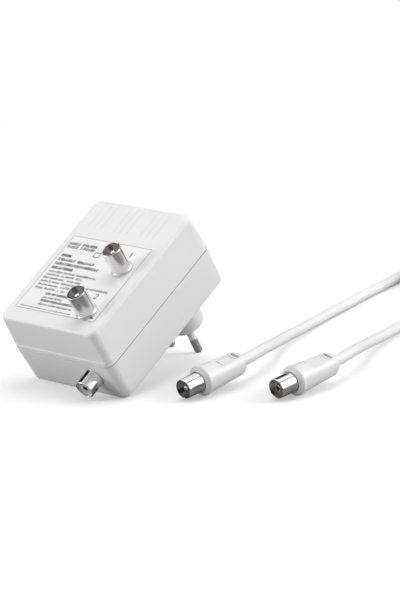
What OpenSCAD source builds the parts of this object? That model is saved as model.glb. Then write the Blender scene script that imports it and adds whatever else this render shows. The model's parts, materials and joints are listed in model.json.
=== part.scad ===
// Plug-in antenna amplifier with two television outputs, and its connecting lead.
// Each piece of the amplifier is drawn in the casing's own frame: X to the right along the
// front face, Y up the casing, Z out of the front face, which lies at Z = 0. lay() then tips
// the casing on to its back, propped on the tips of its mains pins.

/* [Casing] */
// Width of the casing at its parting line
case_w = 62.7; // [56:0.1:75]
// Height of the casing at its parting line
case_h = 83.6; // [78:0.1:110]
// Depth of the front shell
front_d = 20.6; // [19:0.1:30]
// Depth of the rear shell
rear_d = 21.1; // [18:0.1:30]
// Thickness of both shells
wall = 2.2; // [1.8:0.1:2.6]
// Width lost to draft on each side of the front shell
front_draft_w = 0.8; // [0.5:0.1:2]
// Height lost to draft on each end of the front shell
front_draft_h = 0.85; // [0.7:0.05:2]
// Draft on each side of the rear shell
rear_draft_w = 0.5; // [0.2:0.1:2]
// Draft on each end of the rear shell
rear_draft_h = 0.7; // [0.2:0.1:2]
// Radius of the casing's corners, seen from the front
corner_r = 4.4; // [4.2:0.1:8]
// Radius round the front face
front_edge_r = 2.3; // [2:0.1:4]
// Radius round the back
rear_edge_r = 1.8; // [1:0.1:3]
// Width of the groove at the parting line
seam_gap = 0.4; // [0.2:0.05:0.8]
// How far the end panels of the front shell are set in above their ledge
end_panel_in = 0.6; // [0.2:0.1:0.9]
// Height of the ledge below each end panel
ledge_h = 2.6; // [1:0.1:4]
// Height of the tongue that locates the two shells
tongue_h = 1.8; // [1:0.1:3]
// Thickness of that tongue
tongue_t = 0.9; // [0.6:0.05:1.2]

/* [Vents] */
// Width of one ventilation groove
vent_w = 0.9; // [0.6:0.1:1.4]
// Depth of a ventilation groove
vent_depth = 0.5; // [0.3:0.1:0.8]
// Distance between the grooves of one group
vent_pitch = 4.1; // [3:0.1:5]
// Distance between the groups
vent_group_pitch = 16.5; // [12:0.1:17]
// Length of the grooves down the front face
vent_len = 19; // [12:0.1:20]

/* [Label] */
// Width of the label
label_w = 50.4; // [44:0.1:51.4]
// Height of the label
label_h = 48.3; // [44:0.1:52]
// Thickness of the label
label_t = 0.2; // [0.1:0.05:0.4]
// Height of the label's centre below the casing's centre
label_drop = 8.85; // [6:0.05:10]
// Distance of the label's centre from the casing's centre line
label_left = 0; // [0:0.1:1]

/* [Television outputs] */
// Distance of the outputs from the label's right side
output_in = 7.9; // [6.4:0.1:9]
// Height of the first output above the casing's centre
output_1_y = 0.6; // [-1:0.1:2]
// Distance between the two outputs
output_pitch = 28.65; // [27:0.05:30]
// Length of an output outside the front face
output_len = 13; // [11:0.1:16]
// Outside diameter of every coaxial connector's barrel
barrel_d = 9.5; // [9:0.1:10]
// Thickness of a connector's barrel
barrel_wall = 0.45; // [0.3:0.05:0.6]
// Diameter of the collar at the foot of an output
collar_d = 10.9; // [10.4:0.1:12]
// Height of that collar
collar_h = 3; // [1.5:0.1:4]
// Diameter of a male centre pin
centre_pin_d = 2.4; // [2.2:0.1:2.6]
// Width of the seam along a barrel
barrel_slot = 0.4; // [0.2:0.05:0.6]

/* [Antenna input] */
// Distance of the input from the casing's centre line
input_x = 16.5; // [10:0.1:17]
// Distance of the input behind the parting line
input_back = 8.7; // [7.4:0.1:9]
// Length of the input outside the casing
input_len = 8.5; // [8:0.1:12]
// Outside diameter of a female centre contact
contact_d = 3.4; // [3.2:0.1:4]

/* [Mains plug] */
// Height of the plug above the casing's centre
plug_y = 23.2; // [20:0.1:25]
// Height of the plug's foot behind the casing
plug_h = 17.7; // [16:0.1:20]
// Width of the foot where the pins come out
plug_end_w = 38.6; // [36:0.1:40]
// Height of the foot where the pins come out
plug_end_h = 17.2; // [16:0.1:18]
// Extra width of the foot at the casing
plug_flare_w = 4; // [1:0.1:5]
// Extra height of the foot at the casing
plug_flare_h = 2.4; // [1:0.1:3]
// Length of a mains pin
pin_len = 19; // [18:0.1:20]
// Diameter of a mains pin
pin_d = 4; // [3.9:0.05:4.1]
// Radius round the tip of a mains pin
pin_tip_r = 1.4; // [0.8:0.1:1.8]
// Length of the insulating sleeve outside the foot
sleeve_len = 10; // [8:0.1:11]
// Diameter of the insulating sleeve, which is a little less than the pin's
sleeve_d = 3.55; // [3.45:0.05:3.6]
// Distance between the pins at the foot
pin_pitch = 18.6; // [18:0.1:19.2]
// Distance between the pins' tips
pin_tip_pitch = 17.5; // [17:0.1:18]

/* [Inside] */
// Gap between the front shell and the circuit board
board_gap = 5; // [4:0.1:5.5]
// Thickness of the circuit board
board_t = 1.6; // [1:0.1:2]
// Height of the circuit board
board_h = 64; // [62:0.1:66]
// Space between the board and the casing round it
board_clear = 1; // [0.5:0.1:2]
// Width of the transformer's core
core_w = 36; // [33:0.1:38]
// Height of the transformer's core
core_h = 30; // [28:0.1:31]
// Thickness of the core's stack
core_stack = 12; // [10:0.1:12.5]
// Width of the core's centre limb
core_limb = 12; // [10:0.1:12.5]
// Distance of the transformer's centre above the casing's centre
core_y = 13; // [12:0.1:14]
// Width of the board beside the shield can, for the supply
supply_w = 20.8; // [20:0.1:23]
// Length of the shield can
can_l = 26; // [22:0.1:27]
// Height of the shield can
can_h = 9; // [7:0.1:10]
// Diameter of the smoothing capacitor
capacitor_d = 8; // [6:0.1:8.6]
// Length of the smoothing capacitor
capacitor_l = 11.5; // [9:0.1:12]

/* [Screws] */
// Distance of the casing screws from the sides
screw_inset = 6.5; // [6:0.1:7]
// Height of the upper screws above the centre
screw_top_y = 33; // [32.6:0.1:33.2]
// Height of the lower screws above the centre
screw_low_y = -18.5; // [-19:0.1:-17.5]
// Diameter of a casing screw
screw_d = 2.9; // [2.5:0.1:3.2]
// Diameter of a screw's head
screw_head_d = 5.4; // [4.8:0.1:5.6]
// Depth of the recess that holds a screw's head
screw_recess = 9; // [6:0.1:11]

/* [Lead] */
// Diameter of the lead's cable
cord_d = 5.2; // [4.6:0.1:5.4]
// Diameter of a hood's front ring
hood_ring_d = 14.5; // [13:0.1:15]
// Length of a hood
hood_len = 27; // [25:0.1:31]
// Width of a hood at its cable end
hood_rear = 11.6; // [10:0.1:12.4]
// Height of a hood across its two flats
hood_flat = 9.6; // [9:0.1:11]
// Length of a barrel outside its hood
lead_barrel_len = 9.5; // [9:0.1:11]
// Thickness of the strap round the coil
tie_t = 0.8; // [0.6:0.1:1.2]
// Width of that strap
tie_w = 6; // [4:0.1:9]

/* [Hidden] */
$fn = 64;

// Smallest height of a slice, and the overshoot of a cut
tiny = 0.01;
cut = 0.5;
// Clearance of a pressed fit and of a hole that something passes through
fit = 0.05;
pass = 0.1;
soft_fn = 32;

white = "#efeeee";
metal = "#b9b8b6";
tin = "#c9cdd0";
brass = "#c9a860";

// Levels of the casing along its own Z
z_part = -front_d;
z_back = -front_d - rear_d;
z_inner = -wall;
z_floor = z_back + wall;
z_board = z_inner - board_gap;
z_board_back = z_board - board_t;

// Half sizes of the casing at a level
function half_w(z) = z >= z_part
    ? case_w / 2 - front_draft_w * (z - z_part) / front_d
    : case_w / 2 - rear_draft_w * (z_part - z) / rear_d;
function half_h(z) = z >= z_part
    ? case_h / 2 - front_draft_h * (z - z_part) / front_d
    : case_h / 2 - rear_draft_h * (z_part - z) / rear_d;

panel_y = half_h(z_part + ledge_h) - end_panel_in;

// The casing lies on two lines: the rear edge at its lower end, and the tips of the pins.
// Their round sections share a tangent, which is the surface that it lies on.
rest_z = z_back + rear_edge_r;
rest_y = -(half_h(rest_z) - rear_edge_r);
pin_end = z_back - plug_h - pin_len;
tip_y = plug_y - (pin_d / 2 - pin_tip_r);
tip_z = pin_end + pin_tip_r;
span_y = rest_y - tip_y;
span_z = rest_z - tip_z;
tilt = atan2(span_y, span_z)
    + acos((rear_edge_r - pin_tip_r) / norm([span_y, span_z]));
lay_up = rear_edge_r - rest_y * sin(tilt) - rest_z * cos(tilt);

// Reach of the laid amplifier along Y, which is centred on the origin
barrel_r = barrel_d / 2;
barrel_rim = 0.2;
output_2_y = output_1_y - output_pitch;
near_y = min(
    (output_2_y - barrel_r) * cos(tilt) - (output_len - barrel_rim) * sin(tilt),
    -(panel_y - front_edge_r) * cos(tilt) + front_edge_r * sin(tilt) - front_edge_r
);
far_y = (plug_y + pin_d / 2 - pin_tip_r) * cos(tilt) - tip_z * sin(tilt) + pin_tip_r;
lay_back = -(near_y + far_y) / 2;

module lay() {
    translate([0, lay_back, lay_up]) rotate([tilt, 0, 0]) children();
}

// Casing forms

module disc_corners(w, h, r, z, t) {
    for (x = [-1, 1], y = [-1, 1])
        translate([x * (w - r), y * (h - r), z]) cylinder(r = r, h = t, $fn = soft_fn);
}

module round_corners(w, h, r, edge, z) {
    for (x = [-1, 1], y = [-1, 1])
        translate([x * (w - r), y * (h - r), z])
            rotate_extrude($fn = soft_fn) intersection() {
                translate([r - edge, 0]) circle(edge, $fn = soft_fn);
                translate([0, -edge]) square([r + edge, 2 * edge]);
            }
}

// Front shell's form, drawn in by a distance on every face
module front_form(in, open) {
    edge = max(front_edge_r - in, 0.8);
    z_edge = -in - edge;
    hull() {
        disc_corners(half_w(z_part) - in, half_h(z_part) - in, corner_r - in,
            z_part - open, tiny);
        round_corners(half_w(z_edge) - in, half_h(z_edge) - in,
            max(corner_r - in, edge), edge, z_edge);
    }
}

module rear_form(in, open) {
    edge = max(rear_edge_r - in, 0.5);
    z_edge = z_back + in + edge;
    hull() {
        disc_corners(half_w(z_part) - in, half_h(z_part) - in, corner_r - in,
            z_part + open - tiny, tiny);
        round_corners(half_w(z_edge) - in, half_h(z_edge) - in,
            max(corner_r - in, edge), edge, z_edge);
    }
}

module screw_places() {
    for (x = [-1, 1], y = [screw_top_y, screw_low_y])
        translate([x * (case_w / 2 - screw_inset), y, 0]) children();
}

output_x = label_w / 2 - label_left - output_in;
post_d = screw_d + 3.4;
board_post_d = post_d + 1.4;
stake_x = 15;
stake_y = 23;
stake_d = 2.4;
stake_seat_d = 5;

module outputs_at() {
    for (y = [output_1_y, output_2_y]) translate([output_x, y, 0]) children();
}

module vent_slabs() {
    top = half_h(z_part);
    for (group = [-1, 0, 1], line = [-1, 0, 1])
        translate([group * vent_group_pitch + line * vent_pitch - vent_w / 2,
            top - vent_len - front_draft_h, -front_edge_r - vent_depth])
            cube([vent_w, vent_len + 2 * wall, front_edge_r + 2 * vent_depth]);
}

module end_panel_cuts() {
    for (side = [-1, 1])
        translate([-case_w, side > 0 ? panel_y : -panel_y - wall, z_part + ledge_h])
            cube([2 * case_w, wall, front_d]);
}

module front_posts() {
    length = front_d - wall + seam_gap / 2 - fit;
    screw_places() {
        translate([0, 0, z_part - seam_gap / 2 + fit])
            cylinder(d = post_d, h = length + tiny);
        translate([0, 0, z_board])
            cylinder(d = board_post_d, h = board_gap + tiny);
    }
    for (x = [-1, 1]) translate([x * stake_x, stake_y, 0]) {
        translate([0, 0, z_board]) cylinder(d = stake_seat_d, h = board_gap + tiny);
        translate([0, 0, z_board_back - 1]) cylinder(d = stake_d, h = board_t + 1 + tiny);
    }
}

module front_shell() {
    color(white) lay() difference() {
        union() {
            difference() {
                front_form(0, 0);
                front_form(wall, cut);
                translate([-case_w, -case_h, z_part - cut])
                    cube([2 * case_w, 2 * case_h, cut + seam_gap / 2]);
            }
            front_posts();
        }
        difference() {
            vent_slabs();
            front_form(vent_depth, 0);
        }
        end_panel_cuts();
        outputs_at() translate([0, 0, -wall - cut])
            cylinder(d = barrel_d + 2 * pass, h = wall + 2 * cut);
        screw_places() translate([0, 0, z_part - cut])
            cylinder(d = screw_d + 2 * fit, h = screw_bite + cut);
    }
}

screw_bite = 10;

// Plug foot: an oval that narrows towards the face that the pins come out of
module foot_form(in, end_in) {
    end_r = plug_end_h / 2 - in;
    root_r = (plug_end_h + plug_flare_h) / 2 - in;
    root_x = (plug_end_w + plug_flare_w) / 2 - in - root_r;
    end_x = plug_end_w / 2 - in - end_r;
    z_end = z_back - plug_h + end_in;
    hull() for (side = [-1, 1]) translate([0, plug_y, 0]) {
        translate([side * root_x, 0, z_back + wall / 2]) cylinder(r = root_r, h = tiny, $fn = soft_fn);
        translate([side * (end_x + 0.4), 0, z_end + 3.4]) cylinder(r = end_r + 0.3, h = tiny, $fn = soft_fn);
        translate([side * end_x, 0, z_end + 1]) cylinder(r = end_r, h = tiny, $fn = soft_fn);
        translate([side * end_x, 0, z_end + 0.3]) cylinder(r = end_r - 0.3, h = tiny, $fn = soft_fn);
        translate([side * end_x, 0, z_end]) cylinder(r = end_r - 1, h = tiny, $fn = soft_fn);
    }
}

// The pins lean together a little, from their pitch at the foot to that at the tips
pin_lean = asin((pin_pitch - pin_tip_pitch) / 2 / pin_len);
pin_root = 12;
pin_relief = 0.5;
foot_wall = 3;

module at_pin(side) {
    translate([side * pin_pitch / 2, plug_y, z_back - plug_h])
        rotate([0, side * pin_lean, 0]) mirror([0, 0, 1]) children();
}

module rear_posts() {
    screw_places() translate([0, 0, z_back + wall / 2])
        cylinder(d = screw_head_d + 2.6, h = rear_d - wall / 2 - seam_gap / 2);
}

rib_t = 1.6;
limb_side = (core_w - core_limb) / 4;
bobbin_half = core_limb / 2 + limb_side - 2 * pass;
core_z = z_floor + bobbin_half + fit;

module core_ribs() {
    rib_h = core_z - core_stack / 2 - fit - z_floor;
    for (x = [-1, 1])
        translate([x * (core_w / 2 - 2 * rib_t) - rib_t / 2, core_y - core_h / 2, z_floor - tiny])
            cube([rib_t, 16, rib_h + tiny]);
}

// Tongue: four bars just inside the front shell's walls, each on a foot joined to the rear wall
tongue_foot = 1.6;
module tongue() {
    in = wall + front_draft_w * tongue_h / front_d + pass;
    half = [half_w(z_part), half_h(z_part)];
    for (side = [-1, 1], axis = [0, 1]) {
        length = 2 * (half[1 - axis] - corner_r - wall);
        rotate(axis * 90) translate([side * (half[axis] - in - tongue_t / 2), 0, 0]) {
            translate([-tongue_t / 2, -length / 2, z_part - tongue_foot])
                cube([tongue_t, length, tongue_foot + tongue_h]);
            translate([-tongue_t / 2 - (side < 0 ? in - wall / 2 : 0), -length / 2, z_part - tongue_foot])
                cube([tongue_t + in - wall / 2, length, tongue_foot - seam_gap / 2]);
        }
    }
}

// Way from the casing into the hollow foot, for the pins' wires
module foot_opening() {
    root_r = (plug_end_h + plug_flare_h) / 2 - wall;
    root_x = (plug_end_w + plug_flare_w) / 2 - wall - root_r;
    hull() for (side = [-1, 1]) translate([side * root_x, plug_y, z_back + wall / 2 - tiny])
        cylinder(r = root_r, h = wall, $fn = soft_fn);
}

module rear_body() {
    difference() {
        union() {
            rear_form(0, 0);
            foot_form(0, 0);
        }
        rear_form(wall, cut);
        foot_form(wall, foot_wall);
        foot_opening();
        translate([-case_w, -case_h, z_part - seam_gap / 2])
            cube([2 * case_w, 2 * case_h, front_d]);
    }
}

module rear_shell() {
    color(white) lay() difference() {
        union() {
            rear_body();
            tongue();
            rear_posts();
            core_ribs();
            for (side = [-1, 1]) at_pin(side)
                translate([0, 0, -foot_wall - 5]) cylinder(d = pin_d + 3, h = foot_wall + 4);
        }
        for (side = [-1, 1]) at_pin(side)
            translate([0, 0, -pin_root]) cylinder(d = sleeve_d + 2 * fit, h = pin_root + pin_len);
        for (side = [-1, 1]) at_pin(side)
            translate([0, 0, -pin_relief]) cylinder(d = sleeve_d + 1.2, h = pin_relief + cut);
        screw_places() {
            translate([0, 0, z_back - cut]) cylinder(d = screw_head_d + 2 * pass, h = screw_recess + cut);
            translate([0, 0, z_back]) cylinder(d = screw_d + 2 * pass, h = rear_d);
        }
        translate([input_x, 0, z_part - input_back]) rotate([90, 0, 0])
            cylinder(d = root_d + 2 * pass, h = case_h);
    }
}

module label() {
    color("white") lay() difference() {
        translate([-label_w / 2 - label_left, -label_drop - label_h / 2, 0]) cube([label_w, label_h, label_t]);
        outputs_at() translate([0, 0, -cut]) cylinder(d = collar_d + 2 * pass, h = label_t + 2 * cut);
    }
}

module casing_screws() {
    z_head = z_back + screw_recess;
    color(metal) lay() screw_places() difference() {
        union() {
            translate([0, 0, z_head - 1.8]) cylinder(d = screw_head_d, h = 1.8 - fit);
            translate([0, 0, z_head - 1]) cylinder(d = screw_d, h = z_part + screw_bite - 1 - z_head);
        }
        for (turn = [0, 90]) rotate(turn)
            translate([-screw_head_d / 3, -0.4, z_head - 1.8 - cut]) cube([screw_head_d / 1.5, 0.8, 1 + cut]);
    }
}

// Coaxial connectors, drawn with Z from the foot towards the mouth

module tube(d, thick, from, to) {
    translate([0, 0, from]) difference() {
        cylinder(d = d, h = to - from);
        translate([0, 0, -cut]) cylinder(d = d - 2 * thick, h = to - from + 2 * cut);
    }
}

module seam_slot(from, to, angle) {
    rotate(angle) translate([barrel_d / 2 - 2 * barrel_wall, -barrel_slot / 2, from])
        cube([3 * barrel_wall, barrel_slot, to - from]);
}

bore_d = barrel_d - 2 * barrel_wall;
// The input's and the lead's barrels are a little slimmer where they are held
root_d = barrel_d - 0.4;
root_wall = (root_d - bore_d) / 2;
root_out = 0.4;
insulator_foot = -1;
insulator_top = 2.5;

module male_pin(from, to) {
    round_r = centre_pin_d / 2 - 0.3;
    translate([0, 0, from]) cylinder(d = centre_pin_d, h = to - from - round_r);
    rotate_extrude() translate([0, to - round_r]) {
        square([centre_pin_d / 2 - round_r, round_r]);
        intersection() {
            translate([centre_pin_d / 2 - round_r, 0]) circle(round_r);
            square([centre_pin_d / 2, round_r]);
        }
    }
}

module output_barrel() {
    difference() {
        rotate_extrude() polygon([
            [bore_d / 2, z_board + fit], [barrel_r, z_board + fit], [barrel_r, fit],
            [collar_d / 2, fit], [collar_d / 2, collar_h - 0.8],
            [collar_d / 2 - 0.4, collar_h - 0.1], [barrel_r, collar_h],
            [barrel_r, output_len - barrel_rim], [barrel_r - 0.15, output_len],
            [bore_d / 2, output_len]
        ]);
        seam_slot(collar_h + 1, output_len + cut, -36);
    }
}

module output_insulator() {
    translate([0, 0, insulator_foot]) difference() {
        cylinder(d = bore_d - 2 * fit, h = insulator_top - insulator_foot);
        translate([0, 0, -cut])
            cylinder(d = centre_pin_d + 2 * fit, h = insulator_top - insulator_foot + 2 * cut);
    }
}

tail_d = 1;
module output_pin() {
    male_pin(insulator_foot, output_len - 1.2);
    translate([0, 0, z_board_back - 1.2])
        cylinder(d = tail_d, h = insulator_foot - z_board_back + 1.2 + tiny);
}

module output_1_barrel() { color(metal) lay() translate([output_x, output_1_y, 0]) output_barrel(); }
module output_2_barrel() { color(metal) lay() translate([output_x, output_2_y, 0]) output_barrel(); }
module output_1_insulator() { color(white) lay() translate([output_x, output_1_y, 0]) output_insulator(); }
module output_2_insulator() { color(white) lay() translate([output_x, output_2_y, 0]) output_insulator(); }
module output_1_pin() { color(metal) lay() translate([output_x, output_1_y, 0]) output_pin(); }
module output_2_pin() { color(metal) lay() translate([output_x, output_2_y, 0]) output_pin(); }

// Antenna input, with Z out of the lower end of the casing
input_z = z_part - input_back;
input_face = half_h(input_z);
input_inner = 8;
module at_input() {
    translate([input_x, -input_face, input_z]) rotate([90, 0, 0]) children();
}

module input_barrel() {
    color(metal) lay() at_input() difference() {
        union() {
            tube(barrel_d, barrel_wall, root_out, input_len);
            tube(root_d, root_wall, -wall - input_inner, root_out + tiny);
            tube(barrel_d + 1.8, barrel_wall + 1, -wall - 1.3, -wall - 0.3);
        }
        seam_slot(root_out + 0.3, input_len + cut, 60);
    }
}

module input_insulator() {
    color(white) lay() at_input() difference() {
        translate([0, 0, -wall]) cylinder(d = bore_d - 2 * fit, h = wall + input_len - 0.9);
        translate([0, 0, -wall - cut]) cylinder(d = contact_d + 2 * fit, h = wall + input_len);
    }
}

module input_contact() {
    color(brass) lay() at_input() difference() {
        translate([0, 0, -wall - 2]) cylinder(d = contact_d, h = wall + input_len + 0.8);
        translate([0, 0, input_len - 1.2 - contact_bore]) cylinder(d = centre_pin_d, h = contact_bore + cut);
    }
}
contact_bore = 8;

// Mains pins, with Z from the foot towards the tip
core_of_pin_d = pin_d - 1;

module pin_body() {
    straight = pin_len - sleeve_len - pin_tip_r;
    translate([0, 0, sleeve_len + fit]) cylinder(d = pin_d, h = straight - fit);
    translate([0, 0, sleeve_len + straight]) rotate_extrude() {
        square([pin_d / 2 - pin_tip_r, pin_tip_r]);
        intersection() {
            translate([pin_d / 2 - pin_tip_r, 0]) circle(pin_tip_r);
            square([pin_d / 2, pin_tip_r]);
        }
    }
    translate([0, 0, -pin_root]) cylinder(d = core_of_pin_d, h = pin_root + sleeve_len + 2 * fit);
}

module pin_sleeve() {
    tube(sleeve_d, (sleeve_d - core_of_pin_d) / 2 - fit, -foot_wall - 4, sleeve_len);
}

module mains_pin_left() { color(metal) lay() at_pin(-1) pin_body(); }
module mains_pin_right() { color(metal) lay() at_pin(1) pin_body(); }
module pin_sleeve_left() { color(white) lay() at_pin(-1) pin_sleeve(); }
module pin_sleeve_right() { color(white) lay() at_pin(1) pin_sleeve(); }

// A round tube swept along points, by a ring of corners at each point
function unit(v) = v / norm(v);
function heading(p, i) = unit(p[min(i + 1, len(p) - 1)] - p[max(i - 1, 0)]);
function ring(p, i, r, sides, up) = let (
    t = heading(p, i),
    s = unit(cross(t, up)),
    u = cross(s, t)
) [for (k = [0:sides - 1]) p[i] + r * cos(360 * k / sides) * s + r * sin(360 * k / sides) * u];

module swept(p, r, sides, up) {
    n = len(p);
    corners = [for (i = [0:n - 1]) each ring(p, i, r, sides, up)];
    sides_1 = [for (i = [0:n - 2], k = [0:sides - 1]) let (m = (k + 1) % sides)
        [i * sides + k, (i + 1) * sides + k, (i + 1) * sides + m]];
    sides_2 = [for (i = [0:n - 2], k = [0:sides - 1]) let (m = (k + 1) % sides)
        [i * sides + k, (i + 1) * sides + m, i * sides + m]];
    start = [for (k = [1:sides - 2]) [0, k, k + 1]];
    last = (n - 1) * sides;
    end = [for (k = [1:sides - 2]) [last, last + k + 1, last + k]];
    polyhedron(points = corners, faces = concat(sides_1, sides_2, start, end));
}

// Transformer
yoke = limb_side;
window_w = limb_side;
window_h = core_h - 2 * yoke;
spool_t = 0.8;
spool_half = bobbin_half;
chamber = (window_h - 0.4 - 3 * spool_t) / 2;
wire_in = core_limb / 2 + fit * 2 + spool_t;

module at_core() {
    translate([0, core_y, core_z]) children();
}

module block(w, h, t) {
    translate([-w / 2, -h / 2, -t / 2]) cube([w, h, t]);
}

module transformer_core() {
    color("#6f7276") lay() at_core() difference() {
        block(core_w, core_h, core_stack);
        for (side = [-1, 1]) translate([side * (core_limb + window_w) / 2, 0, 0])
            block(window_w, window_h, core_stack + 2 * cut);
    }
}

module square_ring(inner, outer, length) {
    difference() {
        block(outer, length, outer);
        block(inner, length + 2 * cut, inner);
    }
}

module transformer_bobbin() {
    inner = max(core_limb, core_stack) + 2 * pass;
    flange = core_limb + 2 * window_w - 2 * pass;
    color("#3b6b4f") lay() at_core() intersection() {
        union() {
            square_ring(inner, inner + 2 * spool_t, window_h - 0.4);
            for (row = [-1, 0, 1]) translate([0, row * (chamber + spool_t), 0])
                square_ring(inner, flange, spool_t);
        }
        block(flange, core_h, 2 * spool_half);
    }
}

module winding(row, outer) {
    inner = max(core_limb, core_stack) + 2 * pass + 2 * spool_t + 2 * fit;
    at_core() translate([0, row * (chamber + spool_t) / 2, 0])
        square_ring(inner, outer, chamber - 2 * fit);
}

winding_in = 0.7;
winding_outer = core_limb + 2 * (window_w - winding_in);
module primary_winding() { color("#a8552a") lay() winding(1, winding_outer); }
module secondary_winding() { color("#b5652d") lay() winding(-1, winding_outer - 2 * spool_t); }

fuse_d = 3.6;
fuse_len = 9;
fuse_y = core_y + (chamber + spool_t) / 2;
fuse_z = core_z + winding_outer / 2 + fuse_d / 2 + fit;
module thermal_fuse() {
    color("#d8d2c4") lay() translate([-fuse_len / 2, fuse_y, fuse_z])
        rotate([0, 90, 0]) cylinder(d = fuse_d, h = fuse_len);
}

wire_d = 1.8;
pin_tail_x = pin_pitch / 2 + pin_root * sin(pin_lean);
pin_tail_z = z_back - plug_h + pin_root;
above_core_y = core_y + core_h / 2 + 3.6;

module live_wire() {
    color("#7a4a2a") lay() swept([
        [pin_tail_x, plug_y, pin_tail_z + 0.2],
        [pin_tail_x, plug_y + 0.6, pin_tail_z + 3],
        [pin_tail_x, plug_y + 3.4, z_back],
        [pin_tail_x, above_core_y, core_z - core_stack / 2],
        [pin_tail_x, above_core_y, core_z + core_stack / 2],
        [pin_tail_x, above_core_y - 2, fuse_z - 1.6],
        [pin_tail_x - 0.2, above_core_y - 6, fuse_z],
        [fuse_len / 2 + 3, fuse_y + 1.6, fuse_z],
        [fuse_len / 2 + 1.4, fuse_y, fuse_z],
        [fuse_len / 2 + 0.1, fuse_y, fuse_z]
    ], wire_d / 2, 8, [1, 0.01, 0.02]);
}

module neutral_wire() {
    top = core_z + spool_half + wire_d / 2 + pass;
    color("#3d6ea8") lay() swept([
        [-pin_tail_x, plug_y, pin_tail_z + 0.2],
        [-pin_tail_x, plug_y + 0.6, pin_tail_z + 3],
        [-pin_tail_x, plug_y + 3.4, z_back],
        [-pin_tail_x, above_core_y, core_z - core_stack / 2],
        [-pin_tail_x, above_core_y, core_z + core_stack / 2],
        [-pin_tail_x, above_core_y - 2, top - 1.6],
        [-pin_tail_x, above_core_y - 6, top],
        [-pin_tail_x + 0.2, fuse_y + 3, top],
        [-pin_tail_x + 0.4, fuse_y + 0.6, core_z + winding_outer / 2 + wire_d / 2 + fit]
    ], wire_d / 2, 8, [1, 0.01, 0.02]);
}

secondary_x = 4;
secondary_d = 1.2;
module secondary_leads() {
    on_winding = core_z + winding_outer / 2 - 0.8 + secondary_d / 2 + fit;
    top = core_z + spool_half + secondary_d / 2 + pass;
    color("#c9372c") lay() for (x = [-1, 1]) swept([
        [x * secondary_x, core_y - 5.4, on_winding],
        [x * secondary_x, core_y - 6.2, on_winding + 0.2],
        [x * secondary_x, core_y - 7.4, top],
        [x * secondary_x, core_y - 9.2, top + 0.4],
        [x * secondary_x, core_y - 10.8, top + 1.6],
        [x * secondary_x, core_y - 11.4, z_board_back - 2.4],
        [x * secondary_x, core_y - 11.4, z_board_back - 0.1]
    ], secondary_d / 2, 8, [1, 0, 0]);
}

// Circuit board and what is soldered on its back
board_half_w = half_w(z_board_back) - wall - board_clear;
board_low = -(panel_y - wall - board_clear);

// Left side of the board, where the supply's parts stand
supply_x = -board_half_w;

module circuit_board() {
    color("#2f6b45") lay() difference() {
        translate([-board_half_w, board_low, z_board_back]) cube([2 * board_half_w, board_h, board_t]);
        screw_places() translate([0, 0, z_board_back - cut])
            cylinder(d = post_d + 2 * pass, h = board_t + 2 * cut);
        for (x = [-1, 1]) translate([x * stake_x, stake_y, z_board_back - cut])
            cylinder(d = stake_d + 2 * fit, h = board_t + 2 * cut);
        outputs_at() translate([0, 0, z_board_back - cut])
            cylinder(d = tail_d + 2 * fit, h = board_t + 2 * cut);
    }
}

can_t = 0.4;
can_side = can_t + pass;
can_right = case_w / 2 - screw_inset - post_d / 2 - 0.75 - can_side;
can_left = supply_w - board_half_w;
can_w = can_right - can_left;
can_x = (can_right + can_left) / 2;
can_y = -20;
// Places a piece on the back of the board, with Z away from the board
module on_board(x, y) {
    translate([x, y, z_board_back]) mirror([0, 0, 1]) children();
}

module shield_frame() {
    color(tin) lay() on_board(can_x, can_y) difference() {
        translate([-can_w / 2, -can_l / 2, 0]) cube([can_w, can_l, can_h]);
        translate([-can_w / 2 + can_t, -can_l / 2 + can_t, -cut])
            cube([can_w - 2 * can_t, can_l - 2 * can_t, can_h + 2 * cut]);
    }
}

module shield_lid() {
    color(tin) lay() on_board(can_x, can_y) difference() {
        translate([-can_w / 2 - can_side, -can_l / 2 - can_side, can_h - 3])
            cube([can_w + 2 * can_side, can_l + 2 * can_side, 3 + can_t]);
        translate([-can_w / 2 - pass, -can_l / 2 - pass, can_h - 3 - cut])
            cube([can_w + 2 * pass, can_l + 2 * pass, 3 + cut]);
    }
}

module smoothing_capacitor() {
    color("#23324f") lay() on_board(supply_x + 11.3, -14.5) difference() {
        cylinder(d = capacitor_d, h = capacitor_l);
        translate([0, 0, 1.6]) rotate_extrude() translate([capacitor_d / 2, 0]) circle(0.45);
    }
}

module voltage_regulator() {
    color("#26262a") lay() on_board(supply_x + 5.8, -28) {
        for (x = [-1.27, 0, 1.27]) translate([x - 0.25, -0.25, 0]) cube([0.5, 0.5, 3 + tiny]);
        translate([0, 0, 3]) intersection() {
            cylinder(d = 4.8, h = 4.6);
            translate([-3, -1.4, -cut]) cube([6, 6, 6]);
        }
    }
}

// A part that lies along X between two bent legs
module axial_part(body_d, body_l, leg, reach) {
    height = body_d / 2 + 0.4;
    translate([-body_l / 2, 0, height]) rotate([0, 90, 0]) cylinder(d = body_d, h = body_l);
    for (side = [-1, 1]) {
        translate([side * (body_l / 2 + reach) / 2 - (reach - body_l / 2) / 2 - tiny, -leg / 2, height - leg / 2])
            cube([reach - body_l / 2 + 2 * tiny, leg, leg]);
        translate([side * reach - leg / 2, -leg / 2, 0]) cube([leg, leg, height + leg / 2]);
    }
}

module rectifier_diodes() {
    color("#1f1f22") lay() for (i = [0:3]) on_board(supply_x + 11.8, 4 + 4 * i) axial_part(2.7, 5, 0.8, 5);
}

module resistors() {
    color("#c8b48a") lay() for (i = [0:2]) on_board(-supply_x - 12.8, 5 + 4 * i) axial_part(2.2, 6, 0.6, 5);
}

module ceramic_capacitors() {
    color("#c98a3c") lay() for (i = [0:2]) on_board(supply_x + 16.8 - 5 * i, board_low + 3.57) {
        translate([0, 1.1, 3.4]) rotate([90, 0, 0]) cylinder(d = 4.6, h = 2.2);
        for (x = [-1, 1]) translate([x, 0, 0]) cylinder(d = 0.5, h = 2);
    }
}

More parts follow.
